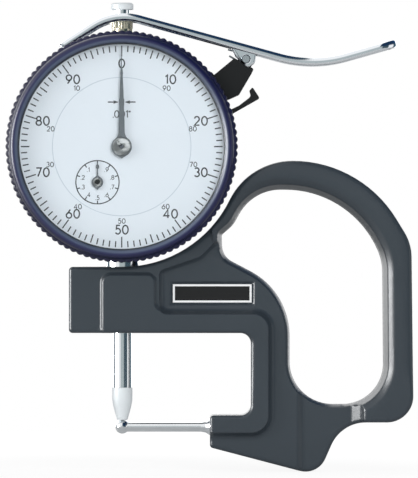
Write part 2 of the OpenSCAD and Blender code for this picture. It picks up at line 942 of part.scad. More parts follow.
dial_feet = [20, 160, 290];
module inner_dial() {
    color("#e6eef4")
        difference() {
            union() {
                bar_y(0, dial_z, inner_dial_r, dial_face, dial_back, 128);
                for (a = dial_feet)
                    bar_y(
                        (inner_dial_r - 2.5) * cos(a), dial_z + (inner_dial_r - 2.5) * sin(a),
                        0.9, dial_back - eps, front_plate_front, 24
                    );
            }
            bar_y(0, dial_z, takeup_arbor_r + 0.3, dial_face - 1, dial_back + 1, 32);
            bar_y(rack_arbor_x, rack_arbor_z, arbor_r + 0.3, dial_face - 1, dial_back + 1, 32);
        }
}

// Pointers
needle_base = 1.5;
needle_mid = 0.5;
needle_tip = 0.22;
spear_back = 6.4;
spear_r = pointer_l - spear_back;
module main_pointer() {
    color("#3a3d42")
        difference() {
            translate([0, 0, dial_z])
                slab(hub_back - pointer_t, hub_back)
                    union() {
                        polygon([
                            [-needle_base / 2, 0],
                            [needle_base / 2, 0],
                            [needle_mid / 2, spear_r - 1],
                            [needle_mid / 2 + 0.12, spear_r],
                            [needle_tip / 2, spear_r + 1.6],
                            [needle_tip / 2, pointer_l],
                            [-needle_tip / 2, pointer_l],
                            [-needle_tip / 2, spear_r + 1.6],
                            [-needle_mid / 2 - 0.12, spear_r],
                            [-needle_mid / 2, spear_r - 1]
                        ]);
                        polygon([[-1.2, 0], [0, -hub_d / 2 - 0.3], [1.2, 0]]);
                        circle(d = hub_d - 0.2, $fn = 64);
                    }
            bar_y(0, dial_z, takeup_arbor_r + run_gap / 4, hub_back - 2, hub_back + 1, 32);
        }
}

module pointer_hub() {
    color("#c9ced2")
        difference() {
            turned([
                [0, hub_back - pointer_t],
                [hub_d / 2, hub_back - pointer_t],
                [hub_d / 2, hub_back - pointer_t - hub_t + 0.25],
                [hub_d / 2 - 0.3, hub_back - pointer_t - hub_t],
                [0, hub_back - pointer_t - hub_t]
            ]);
            bar_y(0, dial_z, takeup_arbor_r + run_gap / 4, hub_back - 3, hub_back + 1, 32);
        }
}

counter_back = dial_face - 0.35;
counter_l = 5.2;
counter_hub_r = 1.4;
module counter_pointer() {
    color("#26282c")
        translate([rack_arbor_x, 0, rack_arbor_z])
            difference() {
                slab(counter_back - 0.3, counter_back)
                    union() {
                        circle(r = counter_hub_r, $fn = 48);
                        polygon([[-0.5, -1], [0, -2], [0.5, -1], [0.5, 0], [-0.5, 0]]);
                        polygon([
                            [-0.22, 0],
                            [0.22, 0],
                            [0.14, counter_l - 1.9],
                            [0.3, counter_l - 1.5],
                            [0, counter_l],
                            [-0.3, counter_l - 1.5],
                            [-0.14, counter_l - 1.9]
                        ]);
                    }
                bar_y(0, 0, arbor_r + run_gap / 4, counter_back - 1, counter_back + 1, 32);
            }
}

// Gear train: the rack turns the rack arbor, its drive gear turns the centre arbor,
// and the take-up gear's hairspring keeps the teeth in touch
fine_add = 0.85 * fine_module;
leaf_add = 0.5 * fine_module;
fine_ded = 1.2 * fine_module;
module centre_arbor() {
    color("#c5a656")
        union() {
            gear(
                0, dial_z, 180 + train_angle + 180 / centre_teeth, gear_front - 0.2, gear_back + 0.2,
                centre_teeth, centre_r, leaf_add, fine_ded, fine_backlash, 3
            );
            bar_y(0, dial_z, takeup_arbor_r, hub_back - pointer_t - hub_t, gear_back, 32);
            bar_y(0, dial_z, pivot_r, gear_back, main_plate_back - 0.2, 32);
        }
}

module rack_arbor() {
    color("#c5a656")
        union() {
            gear(
                rack_arbor_x, rack_arbor_z, 0, -pinion_half, pinion_half,
                rack_pinion_teeth, rack_pinion_r, 0.8 * rack_module, 1.05 * rack_module,
                rack_backlash, 4
            );
            bar_y(rack_arbor_x, rack_arbor_z, arbor_r, counter_back - 0.3, cock_front - 0.1, 32);
            bar_y(rack_arbor_x, rack_arbor_z, pivot_r, cock_front - 0.2, cock_front + plate_t, 32);
        }
}

module drive_gear() {
    color("#c9a24c")
        difference() {
            gear(
                rack_arbor_x, rack_arbor_z, train_angle, gear_front, gear_back,
                drive_teeth, drive_r, fine_add, fine_ded, fine_backlash, 2
            );
            bar_y(rack_arbor_x, rack_arbor_z, arbor_r + run_gap / 4, gear_front - 1, gear_back + 1, 32);
            for (k = [0:3])
                bar_y(
                    rack_arbor_x + 0.55 * drive_r * cos(90 * k + 45),
                    rack_arbor_z + 0.55 * drive_r * sin(90 * k + 45),
                    0.25 * drive_r, gear_front - 1, gear_back + 1, 32
                );
        }
}

module takeup_gear() {
    color("#c9a24c")
        union() {
            gear(
                takeup_x, takeup_z, takeup_angle + 180, gear_front, gear_back,
                takeup_teeth, takeup_r, fine_add, fine_ded, fine_backlash, 2
            );
            bar_y(takeup_x, takeup_z, takeup_arbor_r, front_plate_back + 0.1, gear_back, 32);
            bar_y(takeup_x, takeup_z, pivot_r, gear_back, main_plate_back - 0.2, 32);
            bar_y(takeup_x, takeup_z, pivot_r, front_plate_front, front_plate_back + 0.2, 32);
        }
}

// Flat spiral from the take-up arbor out to its stud
hair_t = 0.15;
hair_turns = 4;
hair_in = takeup_arbor_r + 0.1;
hair_out = 4;
hair_front = front_plate_back + 0.15;
hair_back = gear_front - 0.2;
hair_steps = 18 * hair_turns;
function hair_radius(k) = hair_in + (hair_out - hair_in) * k / hair_steps;
module hairspring() {
    color("#5f6a75")
        translate([takeup_x, 0, takeup_z])
            slab(hair_front, hair_back)
                polygon(concat(
                    [for (k = [0:hair_steps]) hair_radius(k) * ray(20 * k)],
                    [for (k = [hair_steps:-1:0]) (hair_radius(k) + hair_t) * ray(20 * k)]
                ));
}

module hairspring_stud() {
    color("#c5a656")
        bar_y(
            takeup_x + hair_out + hair_t + 0.4, takeup_z, 0.35, front_plate_back, hair_back, 24
        );
}

// Movement plates and their pillars
main_plate_r = bore_r - free_gap;
module main_plate() {
    color("#c7b27a")
        difference() {
            bar_y(0, dial_z, main_plate_r, main_plate_front, main_plate_back, 128);
            translate([-stem_r - 2, main_plate_front - 1, dial_z - case_r])
                cube([2 * stem_r + 4, plate_t + 2, case_r - bore_r + 3.6]);
            bar_y(rack_arbor_x, rack_arbor_z, arbor_r + run_gap, main_plate_front - 1, main_plate_back + 1, 32);
            bar_y(0, dial_z, pivot_r + run_gap, main_plate_front - 1, main_plate_back + 1, 32);
            bar_y(takeup_x, takeup_z, pivot_r + run_gap, main_plate_front - 1, main_plate_back + 1, 32);
            for (a = lug_turns)
                bar_y(
                    lug_radius * cos(a), dial_z + lug_radius * sin(a),
                    screw_r + 0.1, main_plate_front - 1, main_plate_back + 1, 32
                );
        }
}

pillar_spots = [[-15, 7], [14.5, -8.7], [3, 15.5]];
pillar_r = 1.3;
front_plate_r = 18.5;
module front_plate() {
    color("#c7b27a")
        difference() {
            bar_y(0, dial_z, front_plate_r, front_plate_front, front_plate_back, 128);
            bar_y(rack_arbor_x, rack_arbor_z, arbor_r + run_gap, front_plate_front - 1, front_plate_back + 1, 32);
            bar_y(0, dial_z, takeup_arbor_r + run_gap, front_plate_front - 1, front_plate_back + 1, 32);
            bar_y(takeup_x, takeup_z, pivot_r + run_gap, front_plate_front - 1, front_plate_back + 1, 32);
        }
}

module plate_pillars() {
    color("#b8babd")
        for (p = pillar_spots)
            bar_y(p[0], dial_z + p[1], pillar_r, front_plate_back, main_plate_front, 32);
}

module plate_screws() {
    color("#c8cbce")
        for (a = lug_turns)
            slotted_screw(
                lug_radius * cos(a), dial_z + lug_radius * sin(a), main_plate_front, -1, plate_t + 3
            );
}

// Cock behind the rack pinion, on two pillars from the main plate
cock_left = -14;
cock_right = -10;
cock_high = -1;
cock_low = -16.5;
cock_spots = [[(cock_left + cock_right) / 2, cock_high - 2], [(cock_left + cock_right) / 2, cock_low + 2]];
module pinion_cock() {
    color("#c7b27a")
        difference() {
            slab(cock_front, cock_front + plate_t)
                translate([0, dial_z])
                    polygon(outline([
                        [cock_left, cock_low, 1.5],
                        [cock_right, cock_low, 1.5],
                        [rack_arbor_x + 2, rack_arbor_z - dial_z - 2, 1.5],
                        [rack_arbor_x + 2, rack_arbor_z - dial_z + 2, 1.5],
                        [cock_right, cock_high, 1.5],
                        [cock_left, cock_high, 1.5]
                    ]));
            bar_y(rack_arbor_x, rack_arbor_z, pivot_r + run_gap, cock_front - 1, cock_front + 2, 32);
        }
}

module cock_pillars() {
    color("#b8babd")
        for (p = cock_spots)
            bar_y(p[0], dial_z + p[1], pillar_r, main_plate_back, cock_front, 32);
}

// Rail behind the spindle, with a slot for the guide pin
module guide_rail() {
    color("#b8babd")
        difference() {
            translate([-boss_w / 2, rail_front, rail_screw_z[0] - 2])
                cube([boss_w, rail_t, rail_screw_z[1] - rail_screw_z[0] + 4]);
            slab(rail_front - 1, rail_front + rail_t + 1)
                union() {
                    translate([-guide_pin_r - run_gap, guide_z - 1])
                        square([2 * (guide_pin_r + run_gap), travel + 2]);
                    translate([0, guide_z - 1])
                        circle(r = guide_pin_r + run_gap, $fn = 32);
                    translate([0, guide_z + travel + 1])
                        circle(r = guide_pin_r + run_gap, $fn = 32);
                }
            for (z = rail_screw_z)
                bar_y(0, z, screw_r + 0.1, rail_front - 1, rail_front + rail_t + 1, 32);
        }
}

module rail_screws() {
    color("#c8cbce")
        for (z = rail_screw_z)
            slotted_screw(0, z, rail_front, -1, rail_t + 1.4, 0.7);
}

// Spindle: the rack's tooth spaces are cut into its left side
module spindle() {
    color("#d3d7da")
        difference() {
            union() {
                translate([0, 0, contact_top])
                    cylinder(r = spindle_r, h = collar_z + collar_h - contact_top);
                translate([0, 0, collar_z])
                    cylinder(r = spindle_top_r, h = cap_z - collar_z);
            }
            for (k = [rack_first:rack_last])
                translate([rack_line, 0, rack_arbor_z + k * rack_pitch])
                    slab(-spindle_r - 1, spindle_r + 1)
                        polygon(rack_space());
            bar_y(0, guide_z, guide_pin_r + run_gap / 4, 0, spindle_r + 1, 32);
        }
}

// Space between two rack teeth, widest towards the pinion
rack_add = 1.2 * rack_module;
rack_ded = 1.05 * rack_module;
function rack_space() =
    let (
        half = rack_pitch / 4 + rack_backlash / 4,
        out = rack_add * tan(pressure_angle),
        in = rack_ded * tan(pressure_angle)
    )
    [
        [-rack_add, -half - out],
        [rack_ded, -half + in],
        [rack_ded, half - in],
        [-rack_add, half + out]
    ];

module contact_point() {
    color("#e4e8ea")
        rotate_extrude($fn = 96)
            polygon([
                [0, tip_gap],
                [tip_d / 2 - 0.15, tip_gap],
                [tip_d / 2, tip_gap + 0.15],
                [contact_d / 2, tip_gap + 0.62 * contact_l],
                [contact_d / 2, contact_top - 0.2],
                [contact_d / 2 - 0.2, contact_top],
                [0, contact_top]
            ]);
}

module spindle_cap() {
    color("#d3d7da")
        rotate_extrude($fn = 64)
            polygon([
                [0, cap_z],
                [cap_d / 2 - 0.15, cap_z],
                [cap_d / 2, cap_z + 0.15],
                [cap_d / 2, cap_z + cap_h - 0.4],
                [cap_d / 2 - 0.5, cap_z + cap_h],
                [0, cap_z + cap_h]
            ]);
}

module guide_pin() {
    color("#b8babd")
        bar_y(0, guide_z, guide_pin_r, 0.02, rail_front + rail_t - 0.1, 32);
}

module spring_collar() {
    color("#b8babd")
        translate([0, 0, collar_z])
            difference() {
                cylinder(r = collar_r, h = collar_h);
                translate([0, 0, -1])
                    cylinder(r = spindle_r + run_gap / 4, h = collar_h + 2);
            }
}

spring_path = [
    for (k = [0:8 * spring_turns])
        [
            spring_r * cos(45 * k),
            spring_r * sin(45 * k),
            spring_low + (spring_high - spring_low) * k / (8 * spring_turns)
        ]
];
module return_spring() {
    color("#7d848b")
        tube(spring_path, spring_wire / 2, [0, 0, 1]);
}

// Lifting lever: one bent sheet with a fork at the spindle and two cheeks on the pin
module lift_lever() {
    color("#cfd6dc")
        difference() {
            union() {
                intersection() {
                    slab(-lever_w / 2, lever_w / 2)
                        polygon(concat(
                            strip_edge(lever_path, -lever_t, 4),
                            reversed(strip_edge(lever_path, 0, 4))
                        ));
                    lever_plan();
                }
                for (side_y = [-lever_w / 2, cheek_y])
                    slab(side_y, side_y + cheek_t)
                        polygon(outline(cheek_corners()));
            }
            bar_y(pivot_x, pivot_z, pivot_pin_r + run_gap, -lever_w, lever_w, 48);
            translate([fork_x - 1, -slot_half, pivot_z - 10])
                cube([slot_end - fork_x + 1 - slot_half, 2 * slot_half, 40]);
            translate([slot_end - slot_half, 0, pivot_z - 10])
                cylinder(r = slot_half, h = 40);
        }
}

// Plan of the lever, with round ends
end_r = 2.2;
tine_r = 0.9;
module lever_plan() {
    translate([0, 0, pivot_z - 10])
        linear_extrude(40)
            polygon(outline([
                [fork_x, -lever_w / 2, tine_r],
                [finger_x, -lever_w / 2, lever_w / 2 - 0.2],
                [finger_x, lever_w / 2, lever_w / 2 - 0.2],
                [fork_x, lever_w / 2, tine_r]
            ]));
}

// Cheek hanging from the lever's underside round the pin
function lever_under(x) = lever_line(x) - 0.6 * lever_t;
function cheek_corners() =
    [
        [pivot_x + 0.3, pivot_z - 2.3, 0.9],
        [pivot_x + 2.2, pivot_z - 0.9, 0.9],
        [pivot_x + 2.7, lever_under(pivot_x + 2.7), 0.1],
        [pivot_x - 4.2, lever_under(pivot_x - 4.2), 0.1],
        [pivot_x - 2.7, pivot_z + 0.8, 0.9]
    ];

module lever_pin() {
    color("#b9bec3")
        bar_y(pivot_x, pivot_z, pivot_pin_r, -lever_w / 2 - 0.15, lever_w / 2 + 0.15, 48);
}

// Torsion spring round the pin behind the bracket's ear, with a leg to each side of its coil
lever_spring_wire = 0.45;
lever_spring_r = pivot_pin_r + 0.4;
lever_spring_from = 240;
lever_spring_turn = 915;
lever_spring_steps = 20;
lever_spring_y = ear_back + lever_spring_wire / 2 + 0.05;
lever_spring_run = cheek_y - 0.1 - lever_spring_wire / 2 - lever_spring_y;
low_leg = 4;
high_leg = 4.9;
function lever_coil(a, t) =
    [
        pivot_x + lever_spring_r * cos(a),
        lever_spring_y + lever_spring_run * t,
        pivot_z + lever_spring_r * sin(a)
    ];
function leg(a, t, way, length) =
    lever_coil(a, t) + length * [cos(a + way), 0, sin(a + way)];
lever_spring_path = concat(
    [leg(lever_spring_from, 0, -90, low_leg)],
    [
        for (k = [0:lever_spring_steps])
            let (t = k / lever_spring_steps)
            lever_coil(lever_spring_from + lever_spring_turn * t, t)
    ],
    [leg(lever_spring_from + lever_spring_turn, 1, 90, high_leg)]
);
module lever_spring() {
    color("#aab0b6")
        tube(lever_spring_path, lever_spring_wire / 2, [0, 1, 0]);
}

// Bracket: a foot seated on the case and an ear for the pin
bracket_screw_turns = [28, 38];
bracket_screw_y = 5.3;
bracket_screw_r = 0.7;
foot_r = case_r + 2;
foot_back = 7.1;
foot_span = [23, 45];
module lever_bracket() {
    color("#1b1d20")
        difference() {
            union() {
                slab(-bracket_y, ear_back)
                    polygon(outline(bracket_corners([2, -2.4], [-2.9, 0.2])));
                slab(ear_back - 1, bracket_y)
                    polygon(outline(bracket_corners([1.7, -3], [-2.6, -0.8])));
                bar_y(pivot_x, pivot_z, ear_r, -bracket_y, ear_back, 48);
                slab(-bracket_y, ear_back)
                    polygon([
                        [pivot_x - 2.4, pivot_z - 1.2],
                        [pivot_x + 1, pivot_z - 2.6],
                        [pivot_x + ear_r * cos(-15), pivot_z + ear_r * sin(-15)],
                        [pivot_x + ear_r * cos(135), pivot_z + ear_r * sin(135)]
                    ]);
                intersection() {
                    bar_y(0, dial_z, foot_r, -bracket_y, foot_back, 128);
                    slab(-bracket_y, foot_back)
                        translate([0, dial_z])
                            polygon([
                                [0, 0],
                                2 * foot_r * ray(foot_span[0]),
                                2 * foot_r * ray((foot_span[0] + foot_span[1]) / 2),
                                2 * foot_r * ray(foot_span[1])
                            ]);
                }
            }
            bar_y(0, dial_z, case_r + eps, -bracket_y - 1, foot_back + 1, 128);
            bar_y(pivot_x, pivot_z, pivot_pin_r + run_gap / 4, -lever_w, lever_w, 48);
            bracket_holes();
        }
}

// Outline of the bracket's arm, with its two upper corners counted from the pivot
function bracket_corners(right, left) =
    [
        [pivot_x + right[0], pivot_z + right[1], 0.5],
        [pivot_x + left[0], pivot_z + left[1], 0.5],
        [pivot_x - 6.9, pivot_z - 3.1, 0.4],
        [bore_r * cos(38), dial_z + bore_r * sin(38), 0.4],
        [bore_r * cos(24), dial_z + bore_r * sin(24), 0.4],
        [pivot_x - 1.7, pivot_z - 8.8, 0.6]
    ];

module bracket_holes() {
    for (a = bracket_screw_turns)
        translate([0, bracket_screw_y, dial_z])
            rotate([0, 90 - a, 0])
                translate([0, 0, bore_r - 1])
                    cylinder(r = bracket_screw_r + run_gap, h = foot_r - bore_r + 2, $fn = 32);
}

module bracket_screws() {
    color("#2b2d30")
        for (a = bracket_screw_turns)
            translate([0, bracket_screw_y, dial_z])
                rotate([0, 90 - a, 0])
                    union() {
                        translate([0, 0, bore_r])
                            cylinder(r = bracket_screw_r, h = foot_r - bore_r + 0.3, $fn = 32);
                        translate([0, 0, foot_r])
                            cylinder(r = 1.2, h = 0.6, $fn = 32);
                    }
}

// Bezel clamp: an L-shaped lever on a screw at the case's side
module bezel_clamp() {
    color("#1b1d20")
        difference() {
            union() {
                bar_y(clamp_x, clamp_z, clamp_hub_r, clamp_front, clamp_back, 48);
                slab(clamp_front, clamp_back)
                    polygon(outline(clamp_corners));
            }
            bar_y(clamp_x, clamp_z, clamp_screw_r + run_gap, clamp_front - 1, clamp_back + 1, 32);
        }
}

// Corner of the clamp, counted along its arm from the pivot and to the arm's left
function clamp_corner(along_arm, left, r) =
    let (p = [clamp_x, clamp_z] + along_arm * ray(clamp_lean) + left * ray(clamp_lean + 90))
    [p[0], p[1], r];
clamp_half = clamp_arm / 2;
clamp_corners = [
    clamp_corner(0, -clamp_half, 0.05),
    clamp_corner(clamp_reach + 0.65, -0.8 * clamp_half, 0.5),
    clamp_corner(clamp_reach + 0.4, hook_l + 0.15, 0.3),
    clamp_corner(clamp_reach - 0.75, hook_l - 0.3, 0.3),
    clamp_corner(clamp_reach - 1.05, 2 * clamp_half, 0.5),
    clamp_corner(clamp_reach - 1.7, 1.5 * clamp_half, 0.5),
    clamp_corner(0.4 * clamp_reach, 0.7 * clamp_half, 0.3),
    clamp_corner(0, clamp_half, 0.05)
];

module clamp_screw() {
    color("#8b9096")
        slotted_screw(
            clamp_x, clamp_z, clamp_front - 0.02, -1, clamp_t + 4, 0.4, clamp_screw_r, clamp_head_r
        );
}

echo(return_spring_gap = self_gap(spring_path, spring_wire / 2, 6));
echo(lever_spring_gap = self_gap(lever_spring_path, lever_spring_wire / 2, 6));

frame();
label_plate();
anvil();
anvil_set_screw();
stem_set_screw();
case();
stem();
stem_bush();
upper_bush();
back_gasket();
back_cover();
back_cover_screws();
bezel();
bezel_o_ring();
crystal();
crystal_ring();
dial_ring();
inner_dial();
main_pointer();
pointer_hub();
centre_arbor();
counter_pointer();
rack_arbor();
drive_gear();
takeup_gear();
hairspring();
hairspring_stud();
main_plate();
front_plate();
plate_pillars();
plate_screws();
pinion_cock();
cock_pillars();
guide_rail();
rail_screws();
spindle();
contact_point();
spindle_cap();
guide_pin();
spring_collar();
return_spring();
lift_lever();
lever_pin();
lever_spring();
lever_bracket();
bracket_screws();
bezel_clamp();
clamp_screw();
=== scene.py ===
# %% [markdown]
# # Tube thickness gauge
# A dial indicator sits in a cast frame with a loop handle. Its spindle presses a tube wall against a
# ball-ended anvil, and the lever on top lifts the spindle. The solids arrive packed and in place, in
# metres, so this lesson gives them their finishes, replaces a few by finer surfaces, prints the dial and
# lights it all.

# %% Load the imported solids
import json
import math

import bpy
import numpy as np
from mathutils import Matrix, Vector
from mathutils.geometry import delaunay_2d_cdt


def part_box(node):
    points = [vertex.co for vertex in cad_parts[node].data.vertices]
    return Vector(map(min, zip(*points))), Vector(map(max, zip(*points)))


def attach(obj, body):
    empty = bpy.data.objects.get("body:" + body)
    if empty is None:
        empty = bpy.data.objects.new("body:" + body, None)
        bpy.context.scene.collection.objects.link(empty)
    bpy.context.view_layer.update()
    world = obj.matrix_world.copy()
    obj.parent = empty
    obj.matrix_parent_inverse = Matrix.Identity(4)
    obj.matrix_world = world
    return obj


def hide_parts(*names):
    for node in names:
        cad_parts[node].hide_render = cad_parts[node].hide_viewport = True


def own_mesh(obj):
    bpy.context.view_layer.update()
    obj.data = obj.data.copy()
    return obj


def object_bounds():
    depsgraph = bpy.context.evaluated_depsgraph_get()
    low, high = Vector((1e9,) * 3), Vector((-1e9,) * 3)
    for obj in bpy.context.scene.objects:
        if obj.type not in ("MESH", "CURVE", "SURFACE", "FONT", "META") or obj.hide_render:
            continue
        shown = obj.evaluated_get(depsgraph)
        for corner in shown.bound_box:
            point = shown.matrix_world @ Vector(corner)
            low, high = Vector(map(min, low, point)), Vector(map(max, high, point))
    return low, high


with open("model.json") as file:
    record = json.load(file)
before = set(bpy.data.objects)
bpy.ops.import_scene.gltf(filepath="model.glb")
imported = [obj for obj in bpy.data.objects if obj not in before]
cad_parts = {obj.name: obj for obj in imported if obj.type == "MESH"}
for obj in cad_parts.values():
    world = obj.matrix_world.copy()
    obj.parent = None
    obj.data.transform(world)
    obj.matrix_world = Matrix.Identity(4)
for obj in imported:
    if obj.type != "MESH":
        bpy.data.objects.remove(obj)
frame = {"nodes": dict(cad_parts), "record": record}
nodes = frame["nodes"]
cad_low, cad_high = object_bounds()
print("solids:", len(nodes), "box in mm:", [round(1000 * (b - a), 1) for a, b in zip(cad_low, cad_high)])

# %% [markdown]
# A few helpers serve the whole lesson. Colours are written as sRGB hex, as a paint chart gives them, and
# Blender mixes light in linear values, so one function converts them. One function adds a shader node,
# and others make a mesh from whole arrays of points and faces and let it ride on the body that carries
# it.

# %% Helpers for colours, shader nodes and meshes
MM = 0.001
DIAL_Z = 67.3


def linear(hex_colour):
    """Linear RGBA of an sRGB hex colour: the standard curve, channel by channel."""
    c = np.array([int(hex_colour[i:i + 2], 16) for i in (1, 3, 5)]) / 255
    c = np.where(c <= 0.04045, c / 12.92, ((c + 0.055) / 1.055) ** 2.4)
    return (*c.tolist(), 1.0)


def add(tree, kind, inputs=None, stops=(), **settings):
    """Adds a shader node, sets its properties, fills or links each socket named in inputs, and sets the
    stops [place, colour] of a node that has a ramp."""
    node = tree.nodes.new(kind)
    for name, value in settings.items():
        setattr(node, name, value)
    for i, (position, colour) in enumerate(stops):
        elements = node.color_ramp.elements
        element = elements[i] if i < len(elements) else elements.new(1.0)
        element.position = position
        element.color = linear(colour)
    for name, value in (inputs or {}).items():
        if isinstance(value, bpy.types.NodeSocket):
            tree.links.new(value, node.inputs[name])
        else:
            node.inputs[name].default_value = value
    return node


def new_material(name):
    """An empty material with its output node."""
    material = bpy.data.materials.new(name)
    material.use_nodes = True
    material.node_tree.nodes.clear()
    output = material.node_tree.nodes.new("ShaderNodeOutputMaterial")
    return material, material.node_tree, output


def new_object(name, points, faces):
    """A mesh object in the scene, from an array of points in mm and a list of face arrays."""
    mesh = bpy.data.meshes.new(name)
    corners = sum((np.asarray(f).tolist() for f in faces), [])
    mesh.from_pydata((np.asarray(points) * MM).tolist(), [], corners)
    mesh.update()
    made = bpy.data.objects.new(name, mesh)
    bpy.context.scene.collection.objects.link(made)
    return made


def shade_smooth(mesh, angle):
    """Shades edges flatter than an angle in degrees smooth, and keeps the others sharp."""
    mesh.polygons.foreach_set("use_smooth", np.ones(len(mesh.polygons), bool))
    mesh.set_sharp_from_angle(angle=math.radians(angle))


def new_piece(name, points, faces, body, material, smooth=None):
    """A mesh object that rides on a body, with its material, and smooth below a given angle."""
    piece = new_object(name, points, faces)
    mesh = piece.data
    mesh.materials.append(material)
    if smooth is not None:
        shade_smooth(mesh, smooth)
    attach(piece, body)
    print(name, "faces:", len(mesh.polygons))
    return piece


# %% [markdown]
# The photograph was taken straight on with a long lens: the spindle, the bezel and the cap line up
# although they lie at different depths. A camera 1.5 m away keeps that flat look.

# %% Camera
PHOTO_HEIGHT = 478
PIXEL = 0.2468 * MM
CAMERA_X = 21.4 * MM
CAMERA_Z = 44.64 * MM
DISTANCE = 1.5
SENSOR = 36.0

camera_data = bpy.data.cameras.new("camera")
camera_data.sensor_width = SENSOR
camera_data.lens = SENSOR * DISTANCE / (PHOTO_HEIGHT * PIXEL)
camera_data.clip_end = 20
camera = bpy.data.objects.new("camera", camera_data)
camera.location = (CAMERA_X, -DISTANCE, CAMERA_Z)
camera.rotation_euler = (math.pi / 2, 0, 0)
bpy.context.scene.collection.objects.link(camera)
bpy.context.scene.camera = camera
bpy.context.scene.view_settings.view_transform = "Standard"
print("lens in mm:", round(camera_data.lens, 1))

# %% [markdown]
# A catalogue picture like this one is lit by big soft boxes in a white tent. The tent is the world: white
# for the camera, and an even, softer level for the light that falls on the gauge. What mirrors and glass
# see is drawn by bearing, because bright metal is only as lively as its surroundings: grey towards the
# photographer, dark slits between the cloths, and a roof that is white on the left and dark blue on the
# right. The backdrop is lit hardest, to stay white in the picture, so edges that mirror it at a low angle
# are bright.

# %% World
LIGHT_LEVEL = 0.36
WHITE_CLOTH, GREY_CLOTH, DARK_SLIT, NIGHT = "#ffffff", "#b4bdbe", "#3f525c", "#1c3450"
TENT = [
    (0.0, WHITE_CLOTH), (0.135, WHITE_CLOTH), (0.145, DARK_SLIT), (0.2, DARK_SLIT), (0.21, WHITE_CLOTH),
    (0.43, WHITE_CLOTH), (0.455, GREY_CLOTH), (0.545, GREY_CLOTH), (0.565, DARK_SLIT), (0.67, DARK_SLIT),
    (0.69, WHITE_CLOTH), (0.785, WHITE_CLOTH), (0.805, DARK_SLIT), (0.895, DARK_SLIT),
    (0.915, WHITE_CLOTH), (1.0, WHITE_CLOTH),
]
ROOF = [(0.0, WHITE_CLOTH), (0.51, WHITE_CLOTH), (0.53, DARK_SLIT), (0.57, NIGHT), (1.0, NIGHT)]
ROOF_START, ROOF_FULL = 0.12, 0.4
BACKDROP, BACKDROP_START, BACKDROP_FULL = 2.2, 0.3, 0.85

world = bpy.data.worlds.new("tent")
bpy.context.scene.world = world
world.use_nodes = True
tree = world.node_tree
tree.nodes.clear()

path = add(tree, "ShaderNodeLightPath")
towards = add(tree, "ShaderNodeTexCoord").outputs["Generated"]
axes = add(tree, "ShaderNodeSeparateXYZ", {"Vector": towards})
away = add(tree, "ShaderNodeMath", {0: axes.outputs["Y"], 1: -1.0}, operation="MULTIPLY")
bearing = add(tree, "ShaderNodeMath", {0: axes.outputs["X"], 1: away.outputs[0]}, operation="ARCTAN2")
around = add(
    tree, "ShaderNodeMapRange", {"Value": bearing.outputs[0], "From Min": -math.pi, "From Max": math.pi}
)
across = add(tree, "ShaderNodeMapRange", {"Value": axes.outputs["X"], "From Min": -1.0, "From Max": 1.0})
height = add(
    tree, "ShaderNodeMapRange",
    {"Value": axes.outputs["Z"], "From Min": ROOF_START, "From Max": ROOF_FULL},
    interpolation_type="SMOOTHSTEP",
)
walls = add(tree, "ShaderNodeValToRGB", {"Fac": around.outputs["Result"]}, TENT)
roof = add(tree, "ShaderNodeValToRGB", {"Fac": across.outputs["Result"]}, ROOF)
mirrored = add(
    tree, "ShaderNodeMix",
    {0: height.outputs["Result"], 6: walls.outputs["Color"], 7: roof.outputs["Color"]}, data_type="RGBA",
)
behind = add(
    tree, "ShaderNodeMapRange",
    {
        "Value": axes.outputs["Y"], "From Min": BACKDROP_START, "From Max": BACKDROP_FULL,
        "To Min": 1.0, "To Max": BACKDROP,
    },
)
tent_light = add(
    tree, "ShaderNodeVectorMath",
    {0: mirrored.outputs[2], "Scale": behind.outputs["Result"]}, operation="SCALE",
)
seen = add(
    tree, "ShaderNodeMath",
    {0: path.outputs["Is Glossy Ray"], 1: path.outputs["Is Transmission Ray"]}, operation="MAXIMUM",
)
even = (LIGHT_LEVEL, LIGHT_LEVEL, LIGHT_LEVEL, 1.0)
lit = add(
    tree, "ShaderNodeMix",
    {0: seen.outputs[0], 6: even, 7: tent_light.outputs[0]}, data_type="RGBA",
)
level = add(
    tree, "ShaderNodeMix",
    {0: path.outputs["Is Camera Ray"], 6: lit.outputs[2], 7: linear("#ffffff")}, data_type="RGBA",
)
shine = add(tree, "ShaderNodeBackground", {"Color": level.outputs[2]})
add(tree, "ShaderNodeOutputWorld", {"Surface": shine.outputs[0]})
print("tent walls:", len(TENT), "stops, roof:", len(ROOF))

# %% [markdown]
# Three lamps shape the gauge. The soft box in front, a little to the right, lights the dial, and it stays
# out of mirrors so that the flat faces towards the photographer keep their depth of colour. A weak one at
# the left models the casting. Beside it a bright strip is seen in gloss only: it runs along every edge
# that leans left.

# %% Lamps
MIDDLE = (0.02, 0.0, 0.045)


def soft_box(name, place, size, power, on_matt, in_mirrors):
    """A square area lamp at place, in metres, turned to the gauge, that shows on matt faces or in gloss."""
    data = bpy.data.lights.new(name, "AREA")
    data.shape = "SQUARE"
    data.size = size
    data.energy = power
    lamp = bpy.data.objects.new(name, data)
    lamp.location = place
    lamp.rotation_euler = (Vector(MIDDLE) - Vector(place)).to_track_quat("-Z", "Y").to_euler()
    lamp.visible_diffuse = on_matt
    lamp.visible_glossy = in_mirrors
    bpy.context.scene.collection.objects.link(lamp)
    print(name, "watts:", power)


soft_box("left_box", (-0.8, -0.6, 0.3), size=0.5, power=2.5, on_matt=True, in_mirrors=False)
soft_box("left_strip", (-0.85, -0.28, 0.1), size=0.5, power=18.0, on_matt=False, in_mirrors=True)
soft_box("front_box", (0.35, -1.3, 0.35), size=0.6, power=10.2, on_matt=True, in_mirrors=False)

# %% [markdown]
# The gauge stands on a card of white board. It keeps the gauge's shadow, and towards its rim it fades to
# the white of the backdrop, for the camera only, so that no edge of it shows in the picture.

